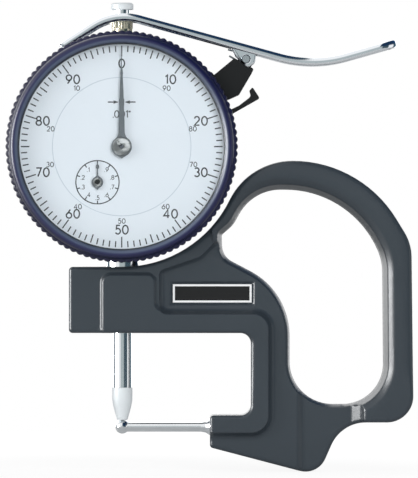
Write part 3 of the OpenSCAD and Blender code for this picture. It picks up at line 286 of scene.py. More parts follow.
# %% Floor
floor_material, tree, output = new_material("white_card")
CARD_SHARE, CARD_GLOW = 0.8, 1.1
FADE_FROM, FADE_TO = 0.07, 0.24
card = add(tree, "ShaderNodeBsdfDiffuse", {"Color": linear("#f4f5f6")})
glow = add(tree, "ShaderNodeEmission", {"Color": linear("#ffffff"), "Strength": CARD_GLOW})
path = add(tree, "ShaderNodeLightPath")
place = add(tree, "ShaderNodeTexCoord").outputs["Object"]
far = add(tree, "ShaderNodeVectorMath", {0: place}, operation="LENGTH")
fade = add(
    tree, "ShaderNodeMapRange",
    {"Value": far.outputs["Value"], "From Min": FADE_FROM, "From Max": FADE_TO, "To Min": CARD_SHARE},
)
share = add(
    tree, "ShaderNodeMath",
    {0: path.outputs["Is Camera Ray"], 1: fade.outputs[0]}, operation="MULTIPLY",
)
mix = add(tree, "ShaderNodeMixShader", {0: share.outputs[0], 1: card.outputs[0], 2: glow.outputs[0]})
tree.links.new(mix.outputs[0], output.inputs["Surface"])
FLOOR_HALF = 300
SQUARE = np.array([(-1, -1), (1, -1), (1, 1), (-1, 1)])
floor_points = np.column_stack([FLOOR_HALF * SQUARE, np.full(4, cad_low.z / MM)])
floor = new_object("floor", floor_points, [[(0, 1, 2, 3)]])
floor.data.materials.append(floor_material)
print("floor at mm:", round(cad_low.z / MM, 2))

# %% [markdown]
# ## Finishes
# Each finish starts from what the real surface is. The frame is cast aluminium under baked enamel, whose
# skin has a faint orange peel that breaks up its gloss. The bracket and the clamp are sheet steel in
# black enamel. Two close tones in soft clouds keep a large painted face from looking like a flat fill.
# Most finishes share that start, and a fine texture then sets their gloss and a slight relief.

# %% Enamel, plastic and rubber
CLOUD = 14


def two_tone(name, colour, deep, cloud, detail=2.0):
    """A material whose colour wanders between two tones, in clouds of a size in mm. Gives the material, its
    nodes, its coordinates and its shader."""
    material, tree, output = new_material(name)
    place = add(tree, "ShaderNodeTexCoord").outputs["Object"]
    clouds = add(tree, "ShaderNodeTexNoise", {"Vector": place, "Scale": 1 / (cloud * MM), "Detail": detail})
    tones = {0: clouds.outputs[0], 6: linear(deep), 7: linear(colour)}
    tone = add(tree, "ShaderNodeMix", tones, data_type="RGBA")
    shader = add(tree, "ShaderNodeBsdfPrincipled", {"Base Color": tone.outputs[2]})
    tree.links.new(shader.outputs[0], output.inputs["Surface"])
    return material, tree, place, shader


def textured(tree, shader, texture, low, high, strength=0.0, relief=0.0):
    """Lets a texture set a shader's roughness, from low to high, and raise its face by a relief in mm."""
    rough = add(tree, "ShaderNodeMapRange", {"Value": texture.outputs[0], "To Min": low, "To Max": high})
    tree.links.new(rough.outputs[0], shader.inputs["Roughness"])
    if relief:
        raised = {"Height": texture.outputs[0], "Strength": strength, "Distance": relief * MM}
        tree.links.new(add(tree, "ShaderNodeBump", raised).outputs[0], shader.inputs["Normal"])


def enamel(name, colour, deep, roughness, peel=0.7, peel_height=0.012):
    """Baked enamel: soft clouds, and an orange peel of the given spacing in mm."""
    material, tree, place, shader = two_tone(name, colour, deep, CLOUD, 3.0)
    skin = add(tree, "ShaderNodeTexNoise", {"Vector": place, "Scale": 1 / (peel * MM), "Detail": 2.0})
    textured(tree, shader, skin, roughness - 0.05, roughness + 0.06, 0.5, peel_height)
    return material


frame_enamel = enamel("slate_enamel", "#373f46", "#30383f", 0.33)
black_enamel = enamel("black_enamel", "#0e0f11", "#090a0b", 0.42, 0.4, 0.008)
ring_black = enamel("black_acetal", "#1d1f29", "#171922", 0.45, 0.4, 0.004)
rubber = enamel("nitrile_rubber", "#1d1d1f", "#151517", 0.7, 0.3, 0.01)
print("painted and moulded:", [m.name for m in (frame_enamel, black_enamel, ring_black, rubber)])

# %% [markdown]
# Ground and turned steel keeps fine marks from the wheel or the tool, so its gloss runs in lines. A wave
# texture across the piece draws them. They are finer than a pixel on the real part, so they are drawn as
# coarse as they need to be to show.

# %% Metals
WAVE_PERIOD, HAZE = 0.314, 5


def metal(name, colour, deep, roughness, line=0.25, axis="Z", depth=0.003, bare=1.0):
    """Machined metal: a haze of two tones and a fine groove of the given spacing in mm, in bands along an
    axis. A blasted face scatters like a matt one, so bare gives the share of it that still mirrors. At a
    scale of one the wave's period is about 0.314."""
    material, tree, place, shader = two_tone(name, colour, deep, HAZE)
    lines = add(
        tree, "ShaderNodeTexWave",
        {"Vector": place, "Scale": WAVE_PERIOD / (line * MM), "Distortion": 1.5, "Detail": 2.0},
        bands_direction=axis,
    )
    textured(tree, shader, lines, roughness * 0.8, roughness * 1.3, 0.4, depth)
    shader.inputs["Metallic"].default_value = bare
    return material


ground_steel = metal("ground_steel", "#eef1f3", "#e2e6e9", 0.1, 0.25, "Z", 0.001)
satin_chrome = metal("blasted_chrome", "#e6ebee", "#dee5e8", 0.6, 0.25, "Z", 0.004, 0.08)
turned_steel = metal("turned_steel", "#d3d7da", "#bfc5ca", 0.24, 0.2, "Z", 0.006)
chrome = metal("chrome_plate", "#f3f6f9", "#e9eef3", 0.07, 0.6, "X", 0.0006)
spring_steel = metal("spring_steel", "#a3a9af", "#8b9197", 0.22, 0.2, "Z")
black_steel = metal("blackened_steel", "#3b3d41", "#2b2d31", 0.4, 0.3, "Z")
case_alloy = metal("satin_aluminium", "#c3c7cb", "#b3b8bd", 0.3, 0.35, "Z")
nickel = metal("nickel_plate", "#dcd6c2", "#cbc4ad", 0.2, 0.3, "Z")
brass = metal("brass", "#d8b768", "#c5a052", 0.24, 0.3, "X")
bronze = metal("bronze", "#b98f57", "#a27a45", 0.28, 0.3, "Z")
print("materials so far:", len(bpy.data.materials))

# %% [markdown]
# The pointer's hub is faced on a lathe. Its fine rings spread a highlight across themselves, which the
# eye sees as fans of light from the middle. Blender has that as anisotropy: a tangent that runs round the
# axis.

# %% Faced hub
FACING = 0.6
hub_steel, tree, place, shader = two_tone("faced_steel", "#8f908e", "#5c5e5e", FACING)
round_axis = add(tree, "ShaderNodeTangent", direction_type="RADIAL", axis="Y")
tree.links.new(round_axis.outputs[0], shader.inputs["Tangent"])
shader.inputs["Metallic"].default_value = 1.0
shader.inputs["Roughness"].default_value = 0.34
shader.inputs["Anisotropic"].default_value = 0.9
print("hub finish:", hub_steel.name)

# %% [markdown]
# The bezel is turned aluminium under navy enamel. Its colour changes with the distance from the axis:
# darker at the very edge of the window, then a grey-blue band over the lip's slope that is a painted
# highlight, the white tent mirrored there, then navy that grows darker towards the knurled rim.

# %% Bezel finish
# Radius in mm and colour. The grey-blue stops from 25.52 to 25.95 mm are a painted highlight, not a colour
# of the metal.
BEZEL_HIGHLIGHT_BANDS = [
    (25.1, "#16202b"), (25.4, "#1c2834"), (25.52, "#465066"), (25.95, "#505b73"), (26.3, "#2a3152"),
    (26.6, "#191c46"), (27.5, "#13163b"), (28.5, "#101232"),
]
bezel_enamel_and_highlight, tree, output = new_material("navy_enamel_painted_highlight")
place = add(tree, "ShaderNodeTexCoord").outputs["Object"]
offset = add(tree, "ShaderNodeVectorMath", {0: place, 1: (0, 0, -DIAL_Z * MM)}, operation="ADD")
flat = add(tree, "ShaderNodeVectorMath", {0: offset.outputs[0], 1: (1, 0, 1)}, operation="MULTIPLY")
radius = add(tree, "ShaderNodeVectorMath", {0: flat.outputs[0]}, operation="LENGTH")
BAND_LOW, BAND_HIGH = BEZEL_HIGHLIGHT_BANDS[0][0], BEZEL_HIGHLIGHT_BANDS[-1][0]
inward = add(
    tree, "ShaderNodeMapRange",
    {"Value": radius.outputs["Value"], "From Min": BAND_LOW * MM, "From Max": BAND_HIGH * MM},
)
stops = [((r - BAND_LOW) / (BAND_HIGH - BAND_LOW), colour) for r, colour in BEZEL_HIGHLIGHT_BANDS]
bands = add(tree, "ShaderNodeValToRGB", {"Fac": inward.outputs["Result"]}, stops)
BEZEL_PEEL = 0.5
skin = add(tree, "ShaderNodeTexNoise", {"Vector": place, "Scale": 1 / (BEZEL_PEEL * MM), "Detail": 2.0})
shader = add(tree, "ShaderNodeBsdfPrincipled", {"Base Color": bands.outputs["Color"]})
textured(tree, shader, skin, 0.34, 0.44, 0.4, 0.004)
tree.links.new(shader.outputs[0], output.inputs["Surface"])
print("bezel bands:", len(BEZEL_HIGHLIGHT_BANDS))

# %% [markdown]
# The dial is a thin plate with a pale, faintly blue satin lacquer. The ink is a matt black. The crystal
# is clear acrylic: lamp rays pass it straight, so that the dial behind it is lit.

# %% Dial lacquer, ink and crystal
FAINT_CLOUD, GRAIN = 9, 0.3


def lacquer(name, colour, deep, roughness):
    """Satin lacquer: one tone with very faint clouds, and a fine grain in its gloss."""
    material, tree, place, shader = two_tone(name, colour, deep, FAINT_CLOUD)
    grain = add(tree, "ShaderNodeTexNoise", {"Vector": place, "Scale": 1 / (GRAIN * MM)})
    textured(tree, shader, grain, roughness - 0.06, roughness + 0.06)
    return material


dial_lacquer = lacquer("dial_lacquer", "#eaeef0", "#e5eaed", 0.5)
# Painted shade: a pale grey for the line over the gap between the inner dial and the turning ring.
gap_painted_shade = lacquer("painted_gap_shade", "#c3ccd2", "#bbc5cc", 0.5)
ink = lacquer("printing_ink", "#111317", "#0d0f12", 0.55)
white_paint = lacquer("white_paint", "#f1f3f4", "#eceeef", 0.5)
label_black = lacquer("black_anodised_plate", "#08090a", "#050607", 0.45)
pointer_lacquer = lacquer("pointer_lacquer", "#555b5e", "#4b5154", 0.4)

acrylic, tree, output = new_material("clear_acrylic")
glass = add(
    tree, "ShaderNodeBsdfPrincipled",
    {"Base Color": linear("#fbfdff"), "Roughness": 0.02, "IOR": 1.49, "Transmission Weight": 1.0},
)
clear = add(tree, "ShaderNodeBsdfTransparent", {"Color": linear("#fbfdff")})
path = add(tree, "ShaderNodeLightPath")
passing = add(
    tree, "ShaderNodeMath",
    {0: path.outputs["Is Shadow Ray"], 1: path.outputs["Is Diffuse Ray"]}, operation="MAXIMUM",
)
mix = add(tree, "ShaderNodeMixShader", {0: passing.outputs[0], 1: glass.outputs[0], 2: clear.outputs[0]})
tree.links.new(mix.outputs[0], output.inputs["Surface"])
print("all materials:", len(bpy.data.materials))

# %% [markdown]
# Every solid now gets its finish. The record's own material slots say what each piece is made of, so a
# short table from slot to finish covers them all, and a few pieces are named apart.

# %% Finish the solids
FINISH = {
    "frame_paint": frame_enamel, "label": label_black, "hard_steel": ground_steel,
    "black_steel": black_steel, "case_alloy": case_alloy, "bronze": bronze, "rubber": rubber,
    "steel": turned_steel, "bezel_paint": bezel_enamel_and_highlight, "crystal": acrylic, "black_plastic": ring_black,
    "dial_white": dial_lacquer, "pointer_grey": pointer_lacquer, "brass": brass,
    "spring_steel": spring_steel, "chrome": chrome,
}
# The centre arbor's blackened steel is painted shade: its dark end stands for the shade in the hub's bore.
APART = {
    "lever_bracket": black_enamel, "bezel_clamp": black_enamel, "centre_arbor": black_steel,
    "rack_arbor": black_steel, "upper_bush": nickel, "spindle_cap": satin_chrome,
}
for part in frame["record"]["subparts"]:
    solid = nodes[part["node"]]
    solid.data.materials.clear()
    solid.data.materials.append(APART.get(part["node"], FINISH[part["material_slot"]]))

# %% [markdown]
# Sheet metal has tumbled, rounded edges. The solids come as loose triangles, so a weld joins them, a
# planar dissolve clears the flat faces, and a bevel rounds what is left. Weighted normals then keep the
# flats flat and the roundings smooth. The lever is rounded most, so that its faces run softly into the
# rolled rim that comes next.

# %% Round the edges of the sheet parts
WELD_GAP, FLAT_ANGLE, BEVEL_ANGLE = 0.002, 0.5, 28


def round_edges(name, width, segments, clamp=True):
    """Adds the weld, the dissolve, a bevel of the given width in mm and weighted normals to a solid."""
    solid = nodes[name]
    solid.data.polygons.foreach_set("use_smooth", np.ones(len(solid.data.polygons), bool))
    weld = solid.modifiers.new("weld", "WELD")
    weld.merge_threshold = WELD_GAP * MM
    flat = solid.modifiers.new("flat", "DECIMATE")
    flat.decimate_type = "DISSOLVE"
    flat.angle_limit = math.radians(FLAT_ANGLE)
    bevel = solid.modifiers.new("bevel", "BEVEL")
    bevel.width = width * MM
    bevel.segments = segments
    bevel.limit_method = "ANGLE"
    bevel.angle_limit = math.radians(BEVEL_ANGLE)
    bevel.use_clamp_overlap = clamp
    normals = solid.modifiers.new("normals", "WEIGHTED_NORMAL")
    normals.keep_sharp = True
    print(name, "edges rounded by mm:", width)


round_edges("lift_lever", 0.4, 4, False)
round_edges("lever_bracket", 0.2, 3)
round_edges("bezel_clamp", 0.2, 3)

# %% [markdown]
# The lever is a long bent strip of chromed sheet. Its rim is rolled down to a smooth half round, a little
# deeper than the sheet, so every part of it mirrors the roof above and the floor below in two bands. The
# rim is swept: a half ellipse is carried along the front edge, round the finger end and back along the
# other edge.

# %% Rolled rim of the lever
LEVER_T, LEVER_HALF, END_R = 1.2, 4.0, 3.8
RIM_DEPTH, RIM_DROP, RIM_START = 0.5, 0.7, 1.2
ROOT_DEPTH, ROOT_HALF = 0.3, 0.5
FALL, RISE, FINGER_RISE = math.radians(15.3), math.radians(33.4), math.radians(15.8)
APEX_X, APEX_Z, APEX_R = -2.0, 101.4646, 15
FORK_X, VALLEY_AT, VALLEY_R, FINGER_X = -15.6, 47.0, 30, 67.1
valley_z = APEX_Z - (VALLEY_AT - APEX_X) * math.tan(FALL)
LEVER_LINE = [
    (FORK_X, APEX_Z - (APEX_X - FORK_X) * math.tan(RISE), 0),
    (APEX_X, APEX_Z, APEX_R),
    (VALLEY_AT, valley_z, VALLEY_R),
    (FINGER_X, valley_z + (FINGER_X - VALLEY_AT) * math.tan(FINGER_RISE), 0),
]


def swept(rings, path_closed=False, section_closed=True):
    """Points and faces of a section carried along a path: rings holds the section's points at each place.
    Neighbouring rings are joined by four-sided faces. An open path is capped by its first and last ring, an
    open section by the lines that its first and last point draw."""
    n, m = rings.shape[:2]
    here = np.arange(m if section_closed else m - 1)
    up = (here + 1) % m
    this = m * np.arange(n if path_closed else n - 1)[:, None]
    after = (this + m) % (m * n)
    quads = np.stack([this + here, after + here, after + up, this + up], axis=2).reshape(-1, 4)
    ends = [] if path_closed else [[here], [m * n - 1 - here]]
    lids = [] if section_closed else [this[::-1].T, this.T + m - 1]
    return rings.reshape(-1, 3), [quads, *ends, *lids]


def bent(corners, step=1.5):
    """Points and headings along an open line of straights, with an arc of its radius at each bend."""
    c = np.asarray(corners, float)
    run = np.diff(c[:, :2], axis=0)
    head = np.arctan2(run[:, 1], run[:, 0])
    places, turns = [c[:1, :2]], [head[:1]]
    for corner, r, a, b in zip(c[1:-1, :2], c[1:-1, 2], head[:-1], head[1:]):
        t = np.linspace(a, b, 2 + int(math.degrees(abs(b - a)) / step))
        side = math.copysign(r, b - a)
        start = corner - r * math.tan(abs(b - a) / 2) * np.array([math.cos(a), math.sin(a)])
        centre = start + side * np.array([-math.sin(a), math.cos(a)])
        places.append(centre - side * np.column_stack([-np.sin(t), np.cos(t)]))
        turns.append(t)
    return np.vstack([*places, c[-1:, :2]]), np.concatenate([*turns, head[-1:]])


top_line, heading = bent(LEVER_LINE)
mid_line = top_line - LEVER_T / 2 * np.column_stack([-np.sin(heading), np.cos(heading)])
edge_x = np.concatenate([[FORK_X + RIM_START], mid_line[1:-1, 0], [FINGER_X - END_R]])
end_turn = np.radians(np.linspace(-90, 90, 37))[1:-1]
plan_x = np.concatenate([edge_x, FINGER_X - END_R + END_R * np.cos(end_turn), edge_x[::-1]])
end_y = END_R * np.sin(end_turn) + np.sign(end_turn) * (LEVER_HALF - END_R)
plan_y = np.concatenate([0 * edge_x - LEVER_HALF, end_y, 0 * edge_x + LEVER_HALF])
plan_z = np.interp(plan_x, mid_line[:, 0], mid_line[:, 1])
outward = np.concatenate([0 * edge_x - np.pi / 2, end_turn, 0 * edge_x + np.pi / 2])[:, None]
slope = np.interp(plan_x, mid_line[:, 0], heading)
down_slope = np.column_stack([np.cos(slope), 0 * slope, np.sin(slope)])
upward = np.column_stack([-np.sin(slope), 0 * slope, np.cos(slope)])
out = np.cos(outward) * down_slope + np.sin(outward) * np.array([0, 1, 0])
t = np.radians(np.linspace(-90, 90, 15))
section_out = np.concatenate([RIM_DEPTH * np.cos(t), [-ROOT_DEPTH, -ROOT_DEPTH]])
section_up = ((LEVER_T + RIM_DROP) * np.sin(t) - RIM_DROP) / 2
section_up = np.concatenate([section_up, [ROOT_HALF, -ROOT_HALF]])
spine = np.column_stack([plan_x, plan_y, plan_z])[:, None, :]
points, faces = swept(spine + section_out[:, None] * out[:, None] + section_up[:, None] * upward[:, None])
new_piece("lever_rim", points, faces, "lever", chrome, 40)

# %% [markdown]
# ## Turned pieces
# The bezel, the contact point and the hub are made on a lathe: one profile carried round an axis. The
# bezel's rim is also knurled, so there the radius dips between its hundred lobes. The profile is swept as
# the lever's rim was, but round a circle that closes.

# %% Revolve a profile


def revolved(profile, count, axis, closed=True, lobes=0, lobe_depth=0.0):
    """Points and faces of a profile [radius, place along the axis, share of the knurl] carried round an
    axis. The knurl takes lobe_depth times one minus the size of a cosine off the radius. A closed profile
    joins its last point to its first; an open one gets a flat cap at either end."""
    p = np.asarray(profile, float)
    knurl = p[:, 2] if p.shape[1] > 2 else 0.0
    a = 2 * np.pi * np.arange(count)[:, None] / count
    r = p[:, 0] - knurl * lobe_depth * (1 - np.abs(np.cos(a * lobes / 2)))
    along = np.broadcast_to(p[:, 1], r.shape)
    rings = {
        "Y": np.stack([r * np.cos(a), along, DIAL_Z + r * np.sin(a)], axis=2),
        "Z": np.stack([r * np.cos(a), r * np.sin(a), along], axis=2),
    }[axis]
    return swept(rings, True, closed)


# %% [markdown]
# The bezel's profile runs from its back, over the knurled rim and a rounded shoulder, down the lip to the
# crystal and back inside along the seats of the crystal and the case.

# %% Bezel
BEZEL_R, SCALLOP, SCALLOPS = 28.5, 0.4, 100
BEZEL_BACK, RIM_FRONT, BEZEL_FRONT = -6.4, -11.2, -14.2
CRYSTAL_FRONT, DIAL_BACK = -13.0, -9.2
WINDOW_R, SEAT_R, NECK_R = 25.15, 25.3, 25.93
BEZEL_PROFILE = [
    (NECK_R, BEZEL_BACK, 0), (27.6, BEZEL_BACK, 0), (27.75, BEZEL_BACK - 0.15, 0),
    (27.75, BEZEL_BACK - 0.5, 0), (28.25, BEZEL_BACK - 0.55, 1), (BEZEL_R, BEZEL_BACK - 0.8, 1),
    (BEZEL_R, RIM_FRONT + 0.35, 1), (28.38, RIM_FRONT + 0.1, 1), (28.15, RIM_FRONT, 0.9),
    (27.75, RIM_FRONT - 0.02, 0.2), (27.6, RIM_FRONT - 0.15, 0), (27.52, RIM_FRONT - 0.9, 0),
    (27.4, BEZEL_FRONT + 1.0, 0), (27.15, BEZEL_FRONT + 0.45, 0),
    (26.8, BEZEL_FRONT + 0.12, 0), (26.45, BEZEL_FRONT, 0), (26.1, BEZEL_FRONT + 0.06, 0),
    (25.75, BEZEL_FRONT + 0.3, 0), (25.45, BEZEL_FRONT + 0.62, 0), (25.25, BEZEL_FRONT + 0.95, 0),
    (WINDOW_R, CRYSTAL_FRONT - 0.1, 0), (WINDOW_R, CRYSTAL_FRONT, 0), (SEAT_R, CRYSTAL_FRONT, 0),
    (SEAT_R, DIAL_BACK + 0.1, 0), (NECK_R, DIAL_BACK + 0.1, 0),
]
points, faces = revolved(BEZEL_PROFILE, 12 * SCALLOPS, "Y", True, SCALLOPS, SCALLOP)
knurled_bezel = new_piece("knurled_bezel", points, faces, "bezel", bezel_enamel_and_highlight, 40)
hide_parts("bezel")

# %% [markdown]
# The crystal is a low dome of clear acrylic, pressed against the lip by a thin ring that hides under it.
# Both are turned from the same seat, so nothing of their edges shows from in front.

# %% Crystal and its ring
CRYSTAL_BACK, DOME, CRYSTAL_R, RING_BORE, DIAL_FACE = -11.8, 0.25, 25.26, 25.06, -9.6
dome_r = np.linspace(CRYSTAL_R, 0.4, 24)
dome_y = CRYSTAL_FRONT - DOME * (1 - (dome_r / CRYSTAL_R) ** 2)
crystal_profile = np.vstack([(CRYSTAL_R, CRYSTAL_BACK), np.column_stack([dome_r, dome_y])])
points, faces = revolved(crystal_profile, 160, "Y", False)
domed_crystal = new_piece("domed_crystal", points, faces, "bezel", acrylic, 30)
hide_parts("crystal")
ring_profile = [
    (RING_BORE, DIAL_FACE), (CRYSTAL_R, DIAL_FACE), (CRYSTAL_R, CRYSTAL_BACK), (RING_BORE, CRYSTAL_BACK),
]
points, faces = revolved(ring_profile, 160, "Y")
thin_ring = new_piece("thin_ring", points, faces, "bezel", ring_black, 30)
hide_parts("crystal_ring")

# %% [markdown]
# The contact point screws into the spindle: a short cylinder that narrows in a smooth cone to a flat tip.
# The hub is a thin disc on the pointer. Its arbor is given blackened steel, so that it shows dark in its
# middle as painted shade of the hole through the hub.

# %% Contact point and hub
TIP_Z, CONTACT_TOP, CONTACT_R, TIP_R = 0.02, 8.02, 2.5, 1.3
CONE_TOP, TIP_EDGE, TOP_EDGE, TOP_ARC = 5.0, 0.15, 0.25, 0.07
CONE_BULGE, CONE_EASE = 1.35, 1.02
cone = np.linspace(0, 1, 15)
cone_r = TIP_R + (CONTACT_R - TIP_R) * (1 - (1 - cone) ** CONE_BULGE) ** CONE_EASE
cone_z = TIP_Z + TIP_EDGE + (CONE_TOP - TIP_Z) * cone
contact_profile = np.vstack([
    (TIP_R - TIP_EDGE, TIP_Z), np.column_stack([cone_r, cone_z]), (CONTACT_R, CONTACT_TOP - TOP_EDGE),
    (CONTACT_R - TOP_ARC, CONTACT_TOP - TOP_ARC), (CONTACT_R - TOP_EDGE, CONTACT_TOP),
])
points, faces = revolved(contact_profile, 96, "Z", False)
contact = new_piece("contact", points, faces, "spindle", satin_chrome, 30)
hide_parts("contact_point")

HUB_BACK, HUB_T, HUB_R, HUB_BORE = -10.9, 0.7, 2.22, 0.52
HUB_EDGE, HUB_ARC, BORE_EDGE = 0.2, 0.06, 0.12
hub_front = HUB_BACK - HUB_T
hub_profile = [
    (HUB_BORE, HUB_BACK), (HUB_R, HUB_BACK), (HUB_R, hub_front + HUB_EDGE),
    (HUB_R - HUB_ARC, hub_front + HUB_ARC), (HUB_R - HUB_EDGE, hub_front),
    (HUB_BORE + BORE_EDGE, hub_front), (HUB_BORE, hub_front + BORE_EDGE),
]
points, faces = revolved(hub_profile, 96, "Y")
hub = new_piece("faced_hub", points, faces, "centre_train", hub_steel, 30)
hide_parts("pointer_hub")

# %% [markdown]
# The return spring is held between the collar on the spindle and the bush above it. Its wire is a circle
# carried along a helix.

# %% Return spring
COIL_R, WIRE_R, COIL_TURNS, COIL_GAP = 2.55, 0.2, 9, 0.05
COLLAR_TOP, BUSH_LOW, TRAVEL = 74.9, 90.9, 10.16
coil_low = COLLAR_TOP + WIRE_R + COIL_GAP
coil_rise = BUSH_LOW - WIRE_R - COIL_GAP - coil_low
coil_turn = np.linspace(0, 2 * np.pi * COIL_TURNS, 32 * COIL_TURNS + 1)[:, None]
wire_turn = np.linspace(0, 2 * np.pi, 10, endpoint=False)
coil_r = COIL_R + WIRE_R * np.cos(wire_turn)
coil_z = coil_low + coil_rise * coil_turn / coil_turn[-1] + WIRE_R * np.sin(wire_turn)
points, faces = swept(np.stack([coil_r * np.cos(coil_turn), coil_r * np.sin(coil_turn), coil_z], axis=2))
coil = new_piece("return_coil", points, faces, "gauge", spring_steel, 40)
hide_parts("return_spring")
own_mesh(coil)

# %% [markdown]
# ## The cast frame
# The real frame is an aluminium casting: its walls lean a little so that it leaves the mould, and every
# edge is rounded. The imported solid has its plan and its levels. A casting's soft steps are easier as a
# height field: at each point of the plan, one function gives half the thickness, from the distances to
# the outlines. The outlines are polygons with an arc at each corner, worked out from the same sizes as
# the solid.

# %% Outlines of the frame


def rounded(corners, grow=0.0, step=4.0, gap=0.7):
    """Closed outline, anticlockwise: an arc of the given radius at each corner [x, z, radius], the whole
    moved outwards by grow. Arcs turn by at most step degrees per point, and the points on a straight lie at
    most gap apart."""
    c = np.asarray(corners, float)
    into = c[:, :2] - np.roll(c[:, :2], 1, axis=0)
    head = np.arctan2(into[:, 1], into[:, 0])
    turn = (np.roll(head, -1) - head + np.pi) % (2 * np.pi) - np.pi
    reach = c[:, 2] * np.tan(np.abs(turn) / 2)
    length = np.linalg.norm(into, axis=1)
    share = np.minimum(1, 0.999 * length / (np.roll(reach, 1) + reach + 0.01))
    radius = c[:, 2] * np.minimum(share, np.roll(share, -1))
    points = []
    for corner, h, t, r in zip(c[:, :2], head, turn, radius):
        side = -1 if t < 0 else 1
        centre = corner - r * math.tan(abs(t) / 2) * np.array([math.cos(h), math.sin(h)])
        square = h + side * math.pi / 2
        centre = centre + r * np.array([math.cos(square), math.sin(square)])
        steps = max(2, math.ceil(math.degrees(abs(t)) / step) + 1)
        a = h - side * math.pi / 2 + np.linspace(0, t, steps)
        points.append(centre + (r + side * grow) * np.column_stack([np.cos(a), np.sin(a)]))
    line = np.vstack(points)
    ends = np.roll(line, -1, axis=0)
    parts = np.maximum(1, np.ceil(np.linalg.norm(ends - line, axis=1) / gap)).astype(int)
    start = np.repeat(np.arange(len(line)), parts)
    along = np.concatenate([np.arange(n) / n for n in parts])[:, None]
    return line[start] + along * (ends[start] - line[start])


RIB, WEB, BRIDGE, FLANGE = 6.0, 3.5, 2.4, 5.0
THROAT, ARM_TOP, ARM_END, ARM_LOW = 31.7, 1.3, 21.6, -6.7
THROAT_TOP, BLOCK_TOP, BLOCK_LEFT = 21.5, 37.8, -13.1
HANDLE_X, HANDLE_TOP, HANDLE_BAR = 71.5, 63.9, 7.1
SADDLE_R, SADDLE_TURN = 29.5, math.radians(63.8)
SHOULDER, FOOT = 43.5, -0.5
CORNER = 0.95
saddle_x = SADDLE_R * math.sin(SADDLE_TURN)
saddle_z = DIAL_Z - SADDLE_R * math.cos(SADDLE_TURN)
lobe_x, lobe_slope, slant = HANDLE_X - 17.4, math.radians(66), math.radians(14.7)
lobe_run = (FOOT - ARM_LOW + (lobe_x - ARM_END) * math.tan(slant)) / (
    math.sin(lobe_slope) + math.cos(lobe_slope) * math.tan(slant)
)
OUTER = [
    (BLOCK_LEFT, BLOCK_TOP, CORNER), (BLOCK_LEFT, THROAT_TOP, CORNER), (THROAT, THROAT_TOP, 2.6),
    (THROAT, ARM_TOP, 2.6), (ARM_END, ARM_TOP, CORNER), (ARM_END, ARM_LOW, CORNER),
    (lobe_x - lobe_run * math.cos(lobe_slope), FOOT - lobe_run * math.sin(lobe_slope), 5.3),
    (lobe_x, FOOT, 9.6), (HANDLE_X + 0.25, FOOT, 6.5), (HANDLE_X - 0.25, SHOULDER, 12),
    (HANDLE_X - (HANDLE_TOP - SHOULDER) / math.tan(math.radians(58)), HANDLE_TOP, 30),
    (
        saddle_x + (HANDLE_TOP - saddle_z) / math.tan(SADDLE_TURN), HANDLE_TOP,
        (HANDLE_TOP - saddle_z) / math.sin(SADDLE_TURN) / math.tan(SADDLE_TURN / 2),
    ),
    (SADDLE_R * math.tan(SADDLE_TURN / 2), BLOCK_TOP, SADDLE_R),
]
loop_right, loop_top, loop_low = HANDLE_X - HANDLE_BAR, HANDLE_TOP - HANDLE_BAR, 3.95
loop_left, loop_shoulder = THROAT + 9.6, SHOULDER - 4.1
neck_x, neck_z = saddle_x + 0.9, saddle_z - 6.2
ear_x = neck_x - 2.8
LOOP = [
    (ear_x, neck_z - 2.4, 0.9), (ear_x + 0.15, 40.35, 4.5),
    (loop_left, 40.35 - (loop_left - ear_x - 0.15) * math.tan(math.radians(27.8)), 18),
    (loop_left, loop_low, 10.5), (loop_right, loop_low, 10), (loop_right - 0.3, loop_shoulder, 14),
    (loop_right - 0.3 - (loop_top - loop_shoulder) / math.tan(math.radians(66)), loop_top, 25.2),
    (neck_x + (loop_top - neck_z) / math.tan(math.radians(60.7)), loop_top, 11.5), (neck_x, neck_z, 8),
]
rib_x, rib_top, rib_low = THROAT + 4.3, THROAT_TOP + 4.6, ARM_TOP - 4.3
recess_x, recess_top, below = 8.8, BLOCK_TOP - 0.7, ARM_LOW - 12
RECESS = [
    (recess_x, rib_top, 2.5), (rib_x, rib_top, 3.6), (rib_x, rib_low, 4.2), (ARM_END - 6, rib_low, 0.9),
    (ARM_END - 6, below, 0.9), (loop_right - 8, below, 0.9), (loop_right - 8, loop_low + 14, 4),
    (loop_right - 18, loop_top - 12, 4), (ear_x + 1.2, neck_z - 2.6, 1), (ear_x - 1.6, neck_z - 3.6, 3),
    (ear_x - 5.6, BLOCK_TOP + 2.7, 3), (recess_x, recess_top, 2),
]
PAD_LEFT, PAD_RIGHT, PAD_TOP = -4.6, recess_x - 1, BLOCK_TOP - 2.2
STEP = [
    (BLOCK_LEFT - 3, THROAT_TOP - 3, 0.9), (PAD_LEFT, THROAT_TOP - 3, 0.9), (PAD_LEFT, PAD_TOP, 1.8),
    (PAD_RIGHT, PAD_TOP, 1.6), (PAD_RIGHT, rib_top + 0.6, 2.4), (recess_x + 3, rib_top + 0.6, 0.2),
    (ear_x - 3, neck_z - 8, 0.9), (ear_x - 1.4, neck_z - 4.4, 0.9), (ear_x - 3.6, neck_z + 2, 0.9),
    (BLOCK_LEFT - 3, BLOCK_TOP + 3, 0.9),
]
outer_line, loop_line = rounded(OUTER), rounded(LOOP)
print("points on the frame's outline:", len(outer_line), "and on the loop's:", len(loop_line))

# %% [markdown]
# The height at a point depends on how far it lies from each outline. A quarter circle rounds the outer
# edge. The grip's bar is crowned. The loop's wall leans and ends in a bevel for the fingers. The recess
# falls off in a fillet, and the valley under the loop follows a profile along x. A soft minimum joins
# them, so that no step is a knife edge.

